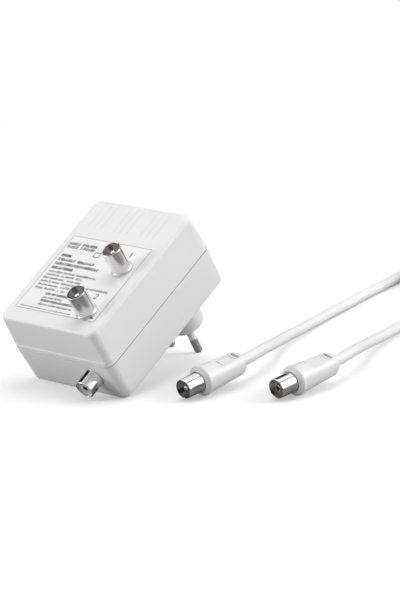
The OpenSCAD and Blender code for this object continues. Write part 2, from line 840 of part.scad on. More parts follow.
module rf_transistor() {
    color("#202022") lay() on_board(can_x - 5, can_y + 6) {
        translate([-1.6, -1.6, 0.6]) cube([3.2, 3.2, 1.6]);
        for (x = [-1, 1], y = [-1, 1]) translate([x * 1.1 - 0.3, y * 2 - 0.6, 0]) cube([0.6, 1.2, 0.6 + tiny]);
    }
}

module splitter_core() {
    color("#3a3a3c") lay() on_board(can_x + 5, can_y) difference() {
        union() {
            translate([-2, -3, 0]) cube([4, 6, 4.6]);
            for (y = [-3, 3]) translate([-2, y, 2.3]) rotate([0, 90, 0]) cylinder(d = 4.6, h = 4);
        }
        for (y = [-2.4, 2.4]) translate([-3, y, 2.3]) rotate([0, 90, 0]) cylinder(d = 1.6, h = 6);
    }
}

module tuning_coils() {
    color("#b06a33") lay() for (place = [[-5, -2], [-5, -8], [4, 8]])
        on_board(can_x + place[0], can_y + place[1]) {
            translate([-2.5, 0, 2.4]) rotate([0, 90, 0]) tube(4, 0.7, 0, 5);
            for (x = [-1, 1]) translate([x * 2.1, 0, 0]) cylinder(d = 0.7, h = 0.8);
        }
}

module input_coax() {
    drop_x = can_left - 3;
    color("#2a2a2c") lay() swept([
        [input_x, -input_face + wall + 2.1, input_z],
        [input_x, -input_face + wall + 8, input_z],
        [input_x - 0.6, -input_face + wall + 12, input_z + 0.2],
        [input_x - 4, can_y, input_z + 1],
        [can_x - 1, can_y + 1.5, input_z + 4],
        [can_left + 4, can_y + 1.5, input_z + 6.2],
        [can_left - 1, can_y + 1.5, input_z + 8],
        [drop_x, can_y + 1.5, input_z + 11.6],
        [drop_x, can_y + 1.5, input_z + 15.6],
        [drop_x, can_y + 1.5, z_board_back - 0.05]
    ], 1.2, 8, [0.1, 0.1, 1]);
}

// The lead lies on the same surface. Each connector stands on its hood's front ring, with its
// cable end held up a little by the stiff cable, which then comes down to the surface in a bow.
// The points of both runs are chosen by hand.
hood_ring_r = hood_ring_d / 2;
ring_chamfer = 0.8;
cord_r = cord_d / 2;
lead_roll = -11;
male_heading = 85.2;
male_rise = 6.5;
female_heading = 84;
female_rise = 6;
function hood_end_z(rise) = hood_ring_r * cos(rise) + (hood_len - ring_chamfer) * sin(rise);
function hood_axis(heading, rise) = [cos(heading) * cos(rise), sin(heading) * cos(rise), sin(rise)];
male_end = [58.2, 19.8, hood_end_z(male_rise)];
female_end = [94.5, 43.4, hood_end_z(female_rise)];

male_run = [
    [58, 30.2, 11], [55.3, 40.6, 10.8], [51.6, 49.8, 9.5],
    [47, 59.2, 7.8], [42.3, 68.3, 6.1], [38.1, 77.9, 4.8], [35, 87.9, 3.9], [32.3, 98, 3.3],
    [29.7, 108.5, 2.9], [27.5, 118.6, 2.8], [25.4, 129.1, 2.7], [23.8, 139.1, 2.7], [22.1, 149.1, 2.7],
    [20, 159.6, 2.7], [18.4, 170.1, 2.7], [16.8, 180.6, 2.7], [15.1, 191.1, 2.7], [13.5, 201, 2.8],
    [11.8, 208.2, 3.1]
];
female_run = [
    [94.3, 53.8, 10.8], [92.1, 63.7, 10.6], [88.4, 73.6, 9.3],
    [84.2, 83.2, 7.6], [80, 92.7, 5.9], [76.9, 102.3, 4.6], [74.2, 112.4, 3.9], [71.5, 122.4, 3.3],
    [69.9, 132.9, 2.9], [69.7, 143.4, 2.7], [70.6, 153.9, 2.7], [72.4, 164.4, 2.8], [74.7, 174.9, 3.1],
    [78.1, 184.9, 4], [81.4, 194.9, 5.4], [84.7, 204.3, 7], [87.5, 214.3, 8.6]
];

// Coil: two layers, wound in and out again, and the least gap between its turns
turns = 5.5;
steps = 24;
coil_pitch = cord_d + 0.5;
coil_mid_r = 30.55;
coil_z = tie_t + 0.3 + cord_r;
coil_x = 47.2;
coil_y = 230;
coil_start = 190;
reversal = turns / 2;
function coil_r(t) = coil_mid_r + coil_pitch * (turns / 4 - min(t, turns - t));
function coil_climb(t) = min(max((t - reversal + 0.25) / 0.5, 0), 1);
function coil_point(t) = let (a = coil_start - 360 * t) [
    coil_x + coil_r(t) * cos(a),
    coil_y + coil_r(t) * sin(a),
    coil_z + coil_pitch * coil_climb(t)
];
coil_wound = [for (i = [0:turns * steps]) coil_point(i / steps)];
coil_in = unit(coil_wound[1] - coil_wound[0]);
coil_out = unit(coil_wound[len(coil_wound) - 1] - coil_wound[len(coil_wound) - 2]);
coil_line = concat(
    [coil_wound[0] - cord_d * coil_in],
    coil_wound,
    [coil_wound[len(coil_wound) - 1] + cord_d * coil_out]
);
coil_gap = min([for (i = [0:len(coil_line) - 1], j = [i + 12:len(coil_line) - 1])
    norm(coil_line[i] - coil_line[j])]) - cord_d;
echo(least_gap_between_turns = coil_gap);
function length_of(p) = len(p) < 2 ? 0 : [for (i = [1:len(p) - 1]) norm(p[i] - p[i - 1])] * [for (i = [1:len(p) - 1]) 1];
echo(tilt = tilt, lay_back = lay_back, lay_up = lay_up);

// Each run leaves its hood and meets the coil square to their faces
coil_end = coil_line[len(coil_line) - 1];
male_line = concat(
    [male_end, male_end + cord_d * hood_axis(male_heading, male_rise)],
    male_run,
    [coil_line[0] - cord_d * coil_in, coil_line[0]]
);
female_line = concat(
    [female_end, female_end + cord_d * hood_axis(female_heading, female_rise)],
    female_run,
    [coil_end + cord_d * coil_out, coil_end]
);
echo(cable_length = length_of(male_line) + length_of(coil_line) + length_of(female_line));

module lead_run_male() { color(white) swept(male_line, cord_r, 8, [0, 0, 1]); }
module lead_run_female() { color(white) swept(female_line, cord_r, 8, [0, 0, 1]); }
module lead_coil() { color(white) swept(coil_line, cord_r, 6, [0, 0, 1]); }

module cable_tie() {
    tie_r = coil_mid_r + coil_pitch / 8;
    inner_w = 2 * coil_pitch + cord_d + 1.2;
    inner_h = coil_pitch + cord_d + 0.6;
    color("white") translate([coil_x, coil_y, coil_z + coil_pitch / 2])
        rotate([0, 0, coil_start - 90]) translate([tie_r, 0, 0]) rotate([90, 0, 0])
            linear_extrude(tie_w, center = true) difference() {
                offset(tie_t) square([inner_w, inner_h], center = true);
                square([inner_w, inner_h], center = true);
            }
}

// A lead connector, with Z from the cable end of its hood towards its mouth
module at_lead_end(end, angle, rise) {
    translate(end) rotate([0, 0, angle + 180]) rotate([0, 90 + rise, 0]) rotate([0, 0, 90 + lead_roll]) children();
}
module at_male() { at_lead_end(male_end, male_heading, male_rise) children(); }
module at_female() { at_lead_end(female_end, female_heading, female_rise) children(); }

lead_mouth = hood_len + lead_barrel_len;
grip_depth = 5;

// A turned body that narrows towards the cable, with a flat above and below and a ring in front
module hood() {
    rear = hood_rear / 2;
    front = hood_ring_r - 0.4;
    ring_back = hood_len - 2.6;
    difference() {
        rotate_extrude() polygon([
            [0, 0], [rear - 2.3, 0], [rear - 1.2, 0.3], [rear - 0.4, 1.1], [rear, 2.4],
            [front, ring_back], [hood_ring_r, ring_back], [hood_ring_r, hood_len - ring_chamfer],
            [hood_ring_r - ring_chamfer, hood_len], [0, hood_len]
        ]);
        for (side = [0, 1]) mirror([0, side, 0]) rotate([90, 0, 90]) translate([0, 0, -hood_ring_d])
            linear_extrude(2 * hood_ring_d) polygon([
                [hood_flat / 2, -cut], [hood_flat / 2, hood_len - 11.4],
                [front + cut, hood_len - 8], [2 * hood_ring_d, hood_len - 8], [2 * hood_ring_d, -cut]
            ]);
        translate([0, 0, hood_len - grip_depth]) cylinder(d = root_d + 2 * fit, h = grip_depth + cut);
        translate([0, 0, hood_len - 1]) cylinder(d = barrel_d + 0.7, h = 1 + cut);
    }
}

module lead_barrel(from) {
    difference() {
        union() {
            tube(barrel_d, barrel_wall, hood_len + root_out, lead_mouth);
            tube(root_d, root_wall, from, hood_len + root_out + tiny);
        }
        seam_slot(hood_len + root_out + 0.3, lead_mouth + cut, 64);
    }
}

module lead_male_hood() { color(white) at_male() hood(); }
module lead_female_hood() { color(white) at_female() hood(); }
module lead_male_barrel() { color(metal) at_male() lead_barrel(hood_len - grip_depth + fit); }
module lead_female_barrel() { color(metal) at_female() lead_barrel(hood_len - grip_depth + fit); }

module lead_male_insulator() {
    foot = hood_len - grip_depth + fit;
    color(white) at_male() difference() {
        translate([0, 0, foot]) cylinder(d = bore_d - 2 * fit, h = grip_depth - 1);
        translate([0, 0, foot - cut]) cylinder(d = centre_pin_d + 2 * fit, h = grip_depth + cut);
    }
}

module lead_male_pin() {
    color(metal) at_male() male_pin(hood_len - grip_depth + 2 * fit, lead_mouth - 1.2);
}

module lead_female_insulator() {
    foot = hood_len - grip_depth + fit;
    color(white) at_female() difference() {
        translate([0, 0, foot]) cylinder(d = bore_d - 2 * fit, h = grip_depth + 2);
        translate([0, 0, foot - cut]) cylinder(d = contact_d + 2 * fit, h = grip_depth + 2 + 2 * cut);
    }
}

module lead_female_contact() {
    color(metal) at_female() difference() {
        translate([0, 0, hood_len - grip_depth + 2 * fit])
            cylinder(d = contact_d, h = lead_mouth - 1 - hood_len + grip_depth - 2 * fit);
        translate([0, 0, lead_mouth - 1 - contact_bore]) cylinder(d = centre_pin_d, h = contact_bore + cut);
    }
}

front_shell();
rear_shell();
label();
casing_screws();
output_1_barrel();
output_1_insulator();
output_1_pin();
output_2_barrel();
output_2_insulator();
output_2_pin();
input_barrel();
input_insulator();
input_contact();
input_coax();
mains_pin_left();
mains_pin_right();
pin_sleeve_left();
pin_sleeve_right();
live_wire();
neutral_wire();
thermal_fuse();
transformer_core();
transformer_bobbin();
primary_winding();
secondary_winding();
secondary_leads();
circuit_board();
shield_frame();
shield_lid();
smoothing_capacitor();
voltage_regulator();
rectifier_diodes();
resistors();
ceramic_capacitors();
rf_transistor();
splitter_core();
tuning_coils();
lead_male_barrel();
lead_male_insulator();
lead_male_pin();
lead_male_hood();
lead_female_barrel();
lead_female_insulator();
lead_female_contact();
lead_female_hood();
lead_run_male();
lead_coil();
lead_run_female();
cable_tie();
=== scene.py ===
import json
import math
import random

import bmesh
import bpy
from mathutils import Matrix, Vector


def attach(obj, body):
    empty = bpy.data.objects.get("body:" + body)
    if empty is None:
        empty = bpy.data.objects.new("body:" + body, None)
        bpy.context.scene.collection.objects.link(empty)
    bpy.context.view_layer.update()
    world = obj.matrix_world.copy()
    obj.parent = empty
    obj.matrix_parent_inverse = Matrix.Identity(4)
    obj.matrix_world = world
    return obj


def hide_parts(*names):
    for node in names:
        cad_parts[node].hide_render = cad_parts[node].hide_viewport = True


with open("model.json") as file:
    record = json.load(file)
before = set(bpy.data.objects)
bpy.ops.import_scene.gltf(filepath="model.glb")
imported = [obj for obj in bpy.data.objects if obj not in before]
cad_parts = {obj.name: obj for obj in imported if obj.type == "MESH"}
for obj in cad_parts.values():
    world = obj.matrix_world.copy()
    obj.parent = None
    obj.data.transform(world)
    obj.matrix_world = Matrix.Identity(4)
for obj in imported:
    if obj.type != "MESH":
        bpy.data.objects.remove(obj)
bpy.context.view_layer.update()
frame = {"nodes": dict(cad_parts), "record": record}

# Sizes of the casing, in millimetres

# The front face lies at height 0, the parting line at PART_Z and the back at BACK_Z. Both halves
# taper away from the parting line, by their drafts.
CASE_W, CASE_H, FRONT_D, REAR_D, WALL = 62.7, 83.6, 20.6, 21.1, 2.2
FRONT_DRAFT_W, FRONT_DRAFT_H, REAR_DRAFT_W, REAR_DRAFT_H = 0.8, 0.85, 0.5, 0.7
CORNER_R, FRONT_EDGE, REAR_EDGE, SEAM = 4.4, 2.3, 1.8, 0.4
PART_Z, BACK_Z = -FRONT_D, -FRONT_D - REAR_D

# Above the ledge the end panels lie END_PANEL_IN further in, and the sides SIDE_IN.
LEDGE_Z, END_PANEL_IN, SIDE_IN = PART_Z + 2.6, 0.6, 0.1
VENT_LEN, VENT_W, VENT_DEEP, VENT_END = 19, 1.5, 0.13, -2.8
VENT_PITCH, VENT_GROUP, VENT_ASIDE = 4.1, 16.8, 0.3

OUTPUTS = [(17.3, 0.6), (17.3, -28.05)]
OUTPUT_HOLE, LABEL_HOLE, INPUT_HOLE, PIN_HOLE = 4.85, 5.55, 4.95, 2.5
WELLS = [(x, y) for x in (-24.85, 24.85) for y in (33, -18.5)]
WELL_R, WELL_DEEP = 2.8, 9

# The foot's face lies at FOOT_Z. Each pin stands PIN_X from its middle, and its tip TIP_IN nearer.
PLUG_Y, FOOT_Z = 23.2, BACK_Z - 17.7
PIN_X, TIP_IN, PIN_LEN, SLEEVE_LEN = 9.3, 0.55, 19, 10
INPUT_X, INPUT_Z = 16.5, PART_Z - 8.7

# Places

# Every piece is drawn in millimetres in its own frame. Its place puts it in the frame of the part,
# in metres.

MM = 0.001


def turn(angle, axis):
    return Matrix.Rotation(math.radians(angle), 4, axis)


def shift(x, y, z):
    return Matrix.Translation(Vector((x, y, z)) * MM)


# The casing lies on the edge of its rear half and on the tips of its mains pins. The record says
# where the foot's face is then, and which way it looks.
plug_face = next(mount for mount in frame["record"]["mounts"] if mount["name"] == "plug_face")
TILT = math.degrees(math.asin(plug_face["axis"][1]))
CASING = Matrix.Translation(plug_face["pos_m"]) @ turn(TILT, "X") @ shift(0, -PLUG_Y, -FOOT_Z)
PART = Matrix.Identity(4)

RING_R, RING_CHAMFER, HOOD_LEN, BARREL_LEN, LEAD_ROLL = 7.25, 0.8, 27.0, 9.5, -11.0
CORD_D = 5.2


def lead_place(x, y, heading, rise):
    """A lead connector's frame: Z runs from the cable end of its hood to its mouth."""
    h, r = math.radians(heading), math.radians(rise)
    up = RING_R * math.cos(r) + (HOOD_LEN - RING_CHAMFER) * math.sin(r)
    place = shift(x, y, up) @ turn(heading + 180, "Z") @ turn(90 + rise, "Y") @ turn(90 + LEAD_ROLL, "Z")
    axis = Vector((math.cos(h) * math.cos(r), math.sin(h) * math.cos(r), math.sin(r)))
    return place, Vector((x, y, up)), axis


MALE, male_end, male_axis = lead_place(58.2, 19.8, 85.2, 6.5)
FEMALE, female_end, female_axis = lead_place(94.5, 43.4, 84, 6)

# Camera

# It was fitted to the casing's corners, the barrels and the pins in the photograph. CAMERA_AT is
# its place in the frame of the part, in millimetres. CAMERA_LEAN lifts it from looking straight
# down, CAMERA_HEADING turns it round the upright and CAMERA_ROLL tips its picture, in degrees.
# FOCAL is its focal length, in picture points of a frame that is FRAME_HIGH of them high.

CAMERA_AT = (850.736, -877.084, 377.673)
CAMERA_LEAN, CAMERA_HEADING, CAMERA_ROLL = 74.2906, 42.2759, -2.7395
FRAME_HIGH, FOCAL = 600, 2691.93

lens = bpy.data.cameras.new("camera")
lens.sensor_fit = "AUTO"
lens.sensor_width = 36
lens.lens = FOCAL / FRAME_HIGH * lens.sensor_width
lens.clip_start, lens.clip_end = 0.05, 50
camera = bpy.data.objects.new("camera", lens)
aim = turn(CAMERA_HEADING, "Z") @ turn(CAMERA_LEAN, "X") @ turn(CAMERA_ROLL, "Z")
camera.matrix_world = shift(*CAMERA_AT) @ aim
bpy.context.scene.collection.objects.link(camera)
bpy.context.scene.camera = camera

# Finishes


class Value:
    """A socket of a finish that is reckoned with like a number."""

    def __init__(self, finish, socket):
        self.finish, self.socket = finish, socket

    def reckon(self, work, *others):
        sockets = dict(enumerate((self,) + others))
        return self.finish.node("ShaderNodeMath", {"operation": work}, sockets)

    def __add__(self, other):
        return self.reckon("ADD", other)

    def __radd__(self, other):
        return self.reckon("ADD", other)

    def __sub__(self, other):
        return self.reckon("SUBTRACT", other)

    def __rsub__(self, other):
        return (self * -1) + other

    def __mul__(self, other):
        return self.reckon("MULTIPLY", other)

    def __truediv__(self, other):
        return self.reckon("DIVIDE", other)

    def __pow__(self, other):
        return self.reckon("POWER", other)

    def above(self, low, high):
        """0 below low, 1 over high, and a soft rise between."""
        sockets = {0: self, 1: low, 2: high, 3: 0.0, 4: 1.0}
        return self.finish.node("ShaderNodeMapRange", {"interpolation_type": "SMOOTHSTEP"}, sockets)


class Finish:
    """A material, or the world, made of nodes."""

    def __init__(self, name, owner=None):
        self.owner = owner or bpy.data.materials.new(name)
        self.owner.use_nodes = True
        self.tree = self.owner.node_tree
        self.tree.nodes.clear()

    def node(self, kind, settings=None, sockets=None, out=0):
        """Any node. It gives back the socket out, or the node itself where it has none."""
        made = self.tree.nodes.new(kind)
        for key, value in (settings or {}).items():
            setattr(made, key, value)
        for key, value in (sockets or {}).items():
            if isinstance(value, Value):
                self.tree.links.new(value.socket, made.inputs[key])
            elif isinstance(value, tuple) and made.inputs[key].type == "RGBA":
                made.inputs[key].default_value = (*value, 1)
            else:
                made.inputs[key].default_value = value
        return Value(self, made.outputs[out]) if made.outputs else made

    def place(self):
        """The piece's own coordinates, in metres."""
        return self.node("ShaderNodeTexCoord", out="Object")

    def parts(self, vector):
        split = self.node("ShaderNodeSeparateXYZ", sockets={0: vector}).socket.node
        return [Value(self, s) for s in split.outputs]

    def stretched(self, vector, x, y, z):
        return self.node("ShaderNodeVectorMath", {"operation": "MULTIPLY"}, {0: vector, 1: (x, y, z)})

    def noise(self, vector, scale, detail=2.0, rough=0.5):
        sockets = {"Vector": vector, "Scale": scale, "Detail": detail, "Roughness": rough}
        return self.node("ShaderNodeTexNoise", {"noise_dimensions": "3D"}, sockets)

    def mix(self, mask, a, b):
        return self.node("ShaderNodeMix", {"data_type": "RGBA"}, {0: mask, 6: a, 7: b}, out=2)

    def bump(self, height, depth, under=None):
        """depth is the height in metres that 0 to 1 stands for."""
        sockets = {"Height": height, "Distance": depth, "Strength": 1.0}
        if under:
            sockets["Normal"] = under
        return self.node("ShaderNodeBump", None, sockets)

    def shader(self, **sockets):
        named = {key.replace("_", " "): value for key, value in sockets.items()}
        surface = self.node("ShaderNodeBsdfPrincipled", None, named)
        return self.end(surface)

    def end(self, surface):
        self.node("ShaderNodeOutputMaterial", None, {"Surface": surface})
        return self.owner


def moulded(name, tone, rough=0.4, grain=0.000012, patch=0.015, sheen_level=0.5):
    """Moulded plastic: fine satin grain, faint flow of the melt, and a little unevenness.

    grain is the grain's height in metres, and patch how far the flow darkens the tone.
    """
    f = Finish(name)
    at = f.place()
    flow = f.noise(f.stretched(at, 1, 0.35, 1), 45, 3)
    fine = f.noise(at, 3200, 2)
    slow = f.noise(at, 160, 2)
    dark = tuple(c * (1 - 2 * patch) for c in tone)
    colour = f.mix(flow, dark, tone)
    height = f.bump(slow, 0.00003, f.bump(fine, grain))
    return f.shader(Base_Color=colour, Roughness=rough + (fine - 0.5) * 0.12 + (flow - 0.5) * 0.06,
                    Normal=height, Specular_IOR_Level=sheen_level)


# A barrel's bore has its own tone, tarnish, which ends between these two radii.
BORE_FILM = (4.33, 4.4)


def plated(name, tone, rough=0.12, lines=0.000004, tarnish=None, spread=0.05):
    """Plated metal with faint drawing lines along its axis, and a duller film in places.

    lines is the lines' height in metres, and spread how far they change the roughness.
    """
    f = Finish(name)
    at = f.place()
    drawn = f.noise(f.stretched(at, 3500, 3500, 60), 1, 2)
    film = f.noise(at, 420, 3)
    colour = f.mix(film, tuple(c * 0.93 for c in tone), tone)
    if tarnish:
        x, y, z = f.parts(at)
        radius = (x * x + y * y) ** 0.5
        inside = 1 - radius.above(BORE_FILM[0] * MM, BORE_FILM[1] * MM)
        colour = f.mix(inside, colour, tarnish)
    dull = rough + (drawn - 0.5) * spread + (film - 0.5) * 0.04
    return f.shader(Base_Color=colour, Metallic=1.0, Roughness=dull, Normal=f.bump(drawn, lines))


FRONT = moulded("casing_front_satin", (0.84, 0.833, 0.84), 0.42)
REAR = moulded("casing_rear_satin", (0.83, 0.823, 0.828), 0.44)
HOOD = moulded("hood_satin", (0.815, 0.805, 0.82), 0.34, 0.00001, patch=0.02)
JACKET = moulded("cable_jacket", (0.85, 0.84, 0.845), 0.4, 0.00002)
STRAP = moulded("strap_nylon", (0.86, 0.86, 0.85), 0.38)
IVORY = moulded("insulator_ivory", (0.74, 0.73, 0.71), 0.5)
LILAC = moulded("input_insulator", (0.60, 0.58, 0.62), 0.3)
SLEEVE = moulded("pin_sleeve_nylon", (0.82, 0.82, 0.81), 0.4)
NICKEL = plated("satin_nickel", (0.80, 0.78, 0.775), 0.24, 0.000003, (0.84, 0.81, 0.79))
CHROME = plated("bright_plate", (0.88, 0.88, 0.89), 0.07, 0.0000006, (0.84, 0.82, 0.79), spread=0.02)
PIN_METAL = plated("pin_nickel", (0.78, 0.77, 0.76), 0.16, 0.000001)
BLADE = plated("mains_pin_nickel", (0.95, 0.94, 0.93), 0.36, 0.000001)
# Brass, darkened further as painted shade, so that the deep hole of the input's contact reads dark.
BRASS_PAINTED_SHADE = plated("contact_brass", (0.36, 0.29, 0.19), 0.3)
STEEL = plated("screw_zinc", (0.62, 0.62, 0.63), 0.32)
FILM = moulded("label_paper", (0.87, 0.865, 0.865), 0.34, 0.000003, patch=0.003)
INK = moulded("label_ink", (0.012, 0.012, 0.013), 0.55, 0.000002, patch=0.1)
# Matte black with almost no gleam, for the block in the input's slot: painted shade.
SLOT_PAINTED_SHADE = moulded("slot_painted_shade", (0.012, 0.012, 0.012), 0.8, sheen_level=0.05)
COAX = moulded("coax_jacket", (0.03, 0.03, 0.032), 0.45)
BROWN = moulded("live_jacket", (0.16, 0.07, 0.03), 0.4)
BLUE = moulded("neutral_jacket", (0.03, 0.10, 0.40), 0.4)
RED = moulded("winding_lead_jacket", (0.42, 0.03, 0.03), 0.4)
CERAMIC = moulded("fuse_body", (0.72, 0.70, 0.64), 0.3)
NYLON = moulded("bobbin_nylon", (0.70, 0.68, 0.60), 0.4)
LAMINATE = moulded("board_laminate", (0.36, 0.25, 0.10), 0.45, patch=0.06)
FOIL_BLUE = moulded("capacitor_sleeve", (0.03, 0.05, 0.14), 0.3)
EPOXY = moulded("moulded_epoxy", (0.025, 0.025, 0.027), 0.5)
TAN = moulded("resistor_lacquer", (0.55, 0.40, 0.22), 0.35)
ORANGE = moulded("ceramic_dip", (0.62, 0.28, 0.06), 0.35)
FERRITE = moulded("ferrite", (0.06, 0.06, 0.065), 0.5, 0.00003)
IRON = plated("core_iron", (0.33, 0.33, 0.35), 0.45, 0.00001)
COPPER = plated("enamelled_copper", (0.72, 0.36, 0.18), 0.25, 0.00001)
TINNED = plated("tinned_sheet", (0.72, 0.72, 0.71), 0.3, 0.000004)

# Making pieces


def place_piece(obj, place, body, finish, stands_for=()):
    """Puts a piece in its place, gives it its finish and body, and hides the nodes it replaces."""
    if place is CASING:
        # The casing's own pieces are tilted in the mesh, so that their boxes lie close round them.
        obj.data.transform(place)
        place = PART
    obj.matrix_world = place
    obj.data.materials.clear()
    obj.data.materials.append(finish)
    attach(obj, body)
    if stands_for:
        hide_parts(*stands_for)
    return obj


def mesh_of(name, corners, faces):
    """A piece from corners in millimetres and faces."""
    mesh = bpy.data.meshes.new(name)
    mesh.from_pydata([Vector(c) * MM for c in corners], [], faces)
    work = bmesh.new()
    work.from_mesh(mesh)
    bmesh.ops.remove_doubles(work, verts=work.verts, dist=1e-7)
    bmesh.ops.dissolve_degenerate(work, edges=work.edges, dist=1e-8)
    bmesh.ops.recalc_face_normals(work, faces=work.faces)
    work.to_mesh(mesh)
    work.free()
    mesh.update()
    obj = bpy.data.objects.new(name, mesh)
    bpy.context.scene.collection.objects.link(obj)
    return obj


def skin(name, rings, caps=True):
    """A closed skin through rings that all have the same number of points."""
    n = len(rings[0])
    corners = [c for ring in rings for c in ring]
    faces = []
    for i in range(len(rings) - 1):
        for k in range(n):
            m = (k + 1) % n
            faces.append((i * n + k, i * n + m, (i + 1) * n + m, (i + 1) * n + k))
    if caps:
        faces.append(tuple(reversed(range(n))))
        faces.append(tuple(range((len(rings) - 1) * n, len(rings) * n)))
    return mesh_of(name, corners, faces)


def turned(name, outline, n=96):
    """A closed outline of radius and height, turned round Z."""
    corners, faces = [], []
    m = len(outline)
    for k in range(n):
        a = 2 * math.pi * k / n
        corners += [(r * math.cos(a), r * math.sin(a), z) for r, z in outline]
    for k in range(n):
        for i in range(m):
            j = (i + 1) % m
            if outline[i][0] < 1e-6 and outline[j][0] < 1e-6:
                continue
            faces.append((k * m + i, k * m + j, (k + 1) % n * m + j, (k + 1) % n * m + i))
    return mesh_of(name, corners, faces)


def block(name, low, high):
    """A box between two corners."""
    (a, b, c), (d, e, f) = low, high
    corners = [(x, y, z) for z in (c, f) for y in (b, e) for x in (a, d)]
    faces = [(0, 2, 3, 1), (4, 5, 7, 6), (0, 1, 5, 4), (2, 6, 7, 3), (0, 4, 6, 2), (1, 3, 7, 5)]
    return mesh_of(name, corners, faces)


def prism(name, outline, low, high):
    """An outline in Y and Z, run along X."""
    n = len(outline)
    corners = [(low, y, z) for y, z in outline] + [(high, y, z) for y, z in outline]
    faces = [(k, (k + 1) % n, n + (k + 1) % n, n + k) for k in range(n)]
    return mesh_of(name, corners, faces + [tuple(range(n)), tuple(reversed(range(n, 2 * n)))])


def moved(obj, place):
    obj.data.transform(place)
    return obj


def settle(obj):
    """Turns the modifiers of a piece into its mesh."""
    bpy.context.view_layer.update()
    made = bpy.data.meshes.new_from_object(obj.evaluated_get(bpy.context.evaluated_depsgraph_get()))
    obj.modifiers.clear()
    obj.data = made
    return obj


def carve(obj, tools, work="DIFFERENCE"):
    """Cuts the tools out of a piece, or joins them to it, and throws them away."""
    for tool in tools:
        step = obj.modifiers.new("carve", "BOOLEAN")
        step.operation, step.solver, step.object = work, "EXACT", tool
    settle(obj)
    for tool in tools:
        bpy.data.objects.remove(tool)
    return obj


def softened(obj, width, angle=32, segments=2):
    """Rounds the sharp edges, and shades the faces smoothly."""
    for face in obj.data.polygons:
        face.use_smooth = True
    edge = obj.modifiers.new("edges", "BEVEL")
    edge.width, edge.segments, edge.limit_method = width * MM, segments, "ANGLE"
    edge.angle_limit = math.radians(angle)
    edge.use_clamp_overlap = True
    shade = obj.modifiers.new("shading", "WEIGHTED_NORMAL")
    shade.keep_sharp = False
    return obj


# Cable

# One line from hood to hood. The two runs lie as the photograph shows until they leave it, and the
# rest of the 1.47 m is wound in a coil of 5.5 turns in two layers, outside the view.

MALE_RUN = [
    (58, 30.2, 11), (55.3, 40.6, 10.8), (51.6, 49.8, 9.5), (47, 59.2, 7.8), (42.3, 68.3, 6.1),
    (38.1, 77.9, 4.8), (35, 87.9, 3.9), (32.3, 98, 3.3), (29.7, 108.5, 2.9), (27.5, 118.6, 2.8),
    (25.4, 129.1, 2.7), (23.8, 139.1, 2.7), (22.1, 149.1, 2.7), (20, 159.6, 2.7), (18.4, 170.1, 2.7),
    (16.8, 180.6, 2.7), (15.1, 191.1, 2.7), (13.5, 201, 2.8), (11.8, 208.2, 3.1),
]
FEMALE_RUN = [
    (94.3, 53.8, 10.8), (92.1, 63.7, 10.6), (88.4, 73.6, 9.3), (84.2, 83.2, 7.6), (80, 92.7, 5.9),
    (76.9, 102.3, 4.6), (74.2, 112.4, 3.9), (71.5, 122.4, 3.3), (69.9, 132.9, 2.9), (69.7, 143.4, 2.7),
    (70.6, 153.9, 2.7), (72.4, 164.4, 2.8), (74.7, 174.9, 3.1), (78.1, 184.9, 4), (81.4, 194.9, 5.4),
    (84.7, 204.3, 7), (87.5, 214.3, 8.6),
]
TURNS, STEPS, PITCH, COIL_R = 5.5, 24, CORD_D + 0.5, 30.55
COIL = Vector((47.2, 230, 3.7))
COIL_START = 190


def coil_point(t):
    """The cable's middle after t turns: inwards in the lower layer, then outwards in the upper one.

    It climbs from one to the other in the middle half turn.
    """
    a = math.radians(COIL_START - 360 * t)
    r = COIL_R + PITCH * (TURNS / 4 - min(t, TURNS - t))
    climb = min(max((t - TURNS / 2 + 0.25) / 0.5, 0), 1)
    return COIL + Vector((r * math.cos(a), r * math.sin(a), PITCH * climb))


def smooth_line(points, parts=4):
    """A line through the points, without corners."""
    made = []
    for i in range(len(points) - 1):
        a, b = points[max(i - 1, 0)], points[i]
        c, d = points[i + 1], points[min(i + 2, len(points) - 1)]
        for k in range(parts):
            t = k / parts
            made.append(0.5 * (2 * b + (c - a) * t + (2 * a - 5 * b + 4 * c - d) * t * t
                               + (3 * b - a - 3 * c + d) * t * t * t))
    return made + [points[-1]]


wound = [coil_point(i / STEPS) for i in range(int(TURNS * STEPS) + 1)]
inward = (wound[1] - wound[0]).normalized()
outward = (wound[-1] - wound[-2]).normalized()
route = (
    [male_end, male_end + CORD_D * male_axis] + [Vector(p) for p in MALE_RUN]
    + [wound[0] - 2 * CORD_D * inward, wound[0] - CORD_D * inward]
    + wound
    + [wound[-1] + CORD_D * outward, wound[-1] + 2 * CORD_D * outward]
    + [Vector(p) for p in reversed(FEMALE_RUN)]
    + [female_end + CORD_D * female_axis, female_end]
)
line = bpy.data.curves.new("lead_cable", "CURVE")
line.dimensions = "3D"
line.bevel_depth = CORD_D / 2 * MM
line.bevel_resolution = 7
line.use_fill_caps = True
path = smooth_line(route)
spline = line.splines.new("POLY")
spline.points.add(len(path) - 1)
for point, at in zip(spline.points, path):
    point.co = (*(at * MM), 1)
spline.use_smooth = True
cable = bpy.data.objects.new("lead_cable", line)
bpy.context.scene.collection.objects.link(cable)
place_piece(cable, PART, "lead", JACKET, ["lead_run_male", "lead_coil", "lead_run_female"])

# Casing


def half_w(z):
    if z >= PART_Z:
        return CASE_W / 2 - FRONT_DRAFT_W * (z - PART_Z) / FRONT_D
    return CASE_W / 2 - REAR_DRAFT_W * (PART_Z - z) / REAR_D


def half_h(z):
    if z >= PART_Z:
        return CASE_H / 2 - FRONT_DRAFT_H * (z - PART_Z) / FRONT_D
    return CASE_H / 2 - REAR_DRAFT_H * (PART_Z - z) / REAR_D


PANEL_Y = half_h(LEDGE_Z) - END_PANEL_IN


def lower_of(a, b, blend):
    """The smaller of two numbers, with a soft change from one to the other."""
    return min(a, b) - max(blend - abs(a - b), 0) ** 2 / (4 * blend)


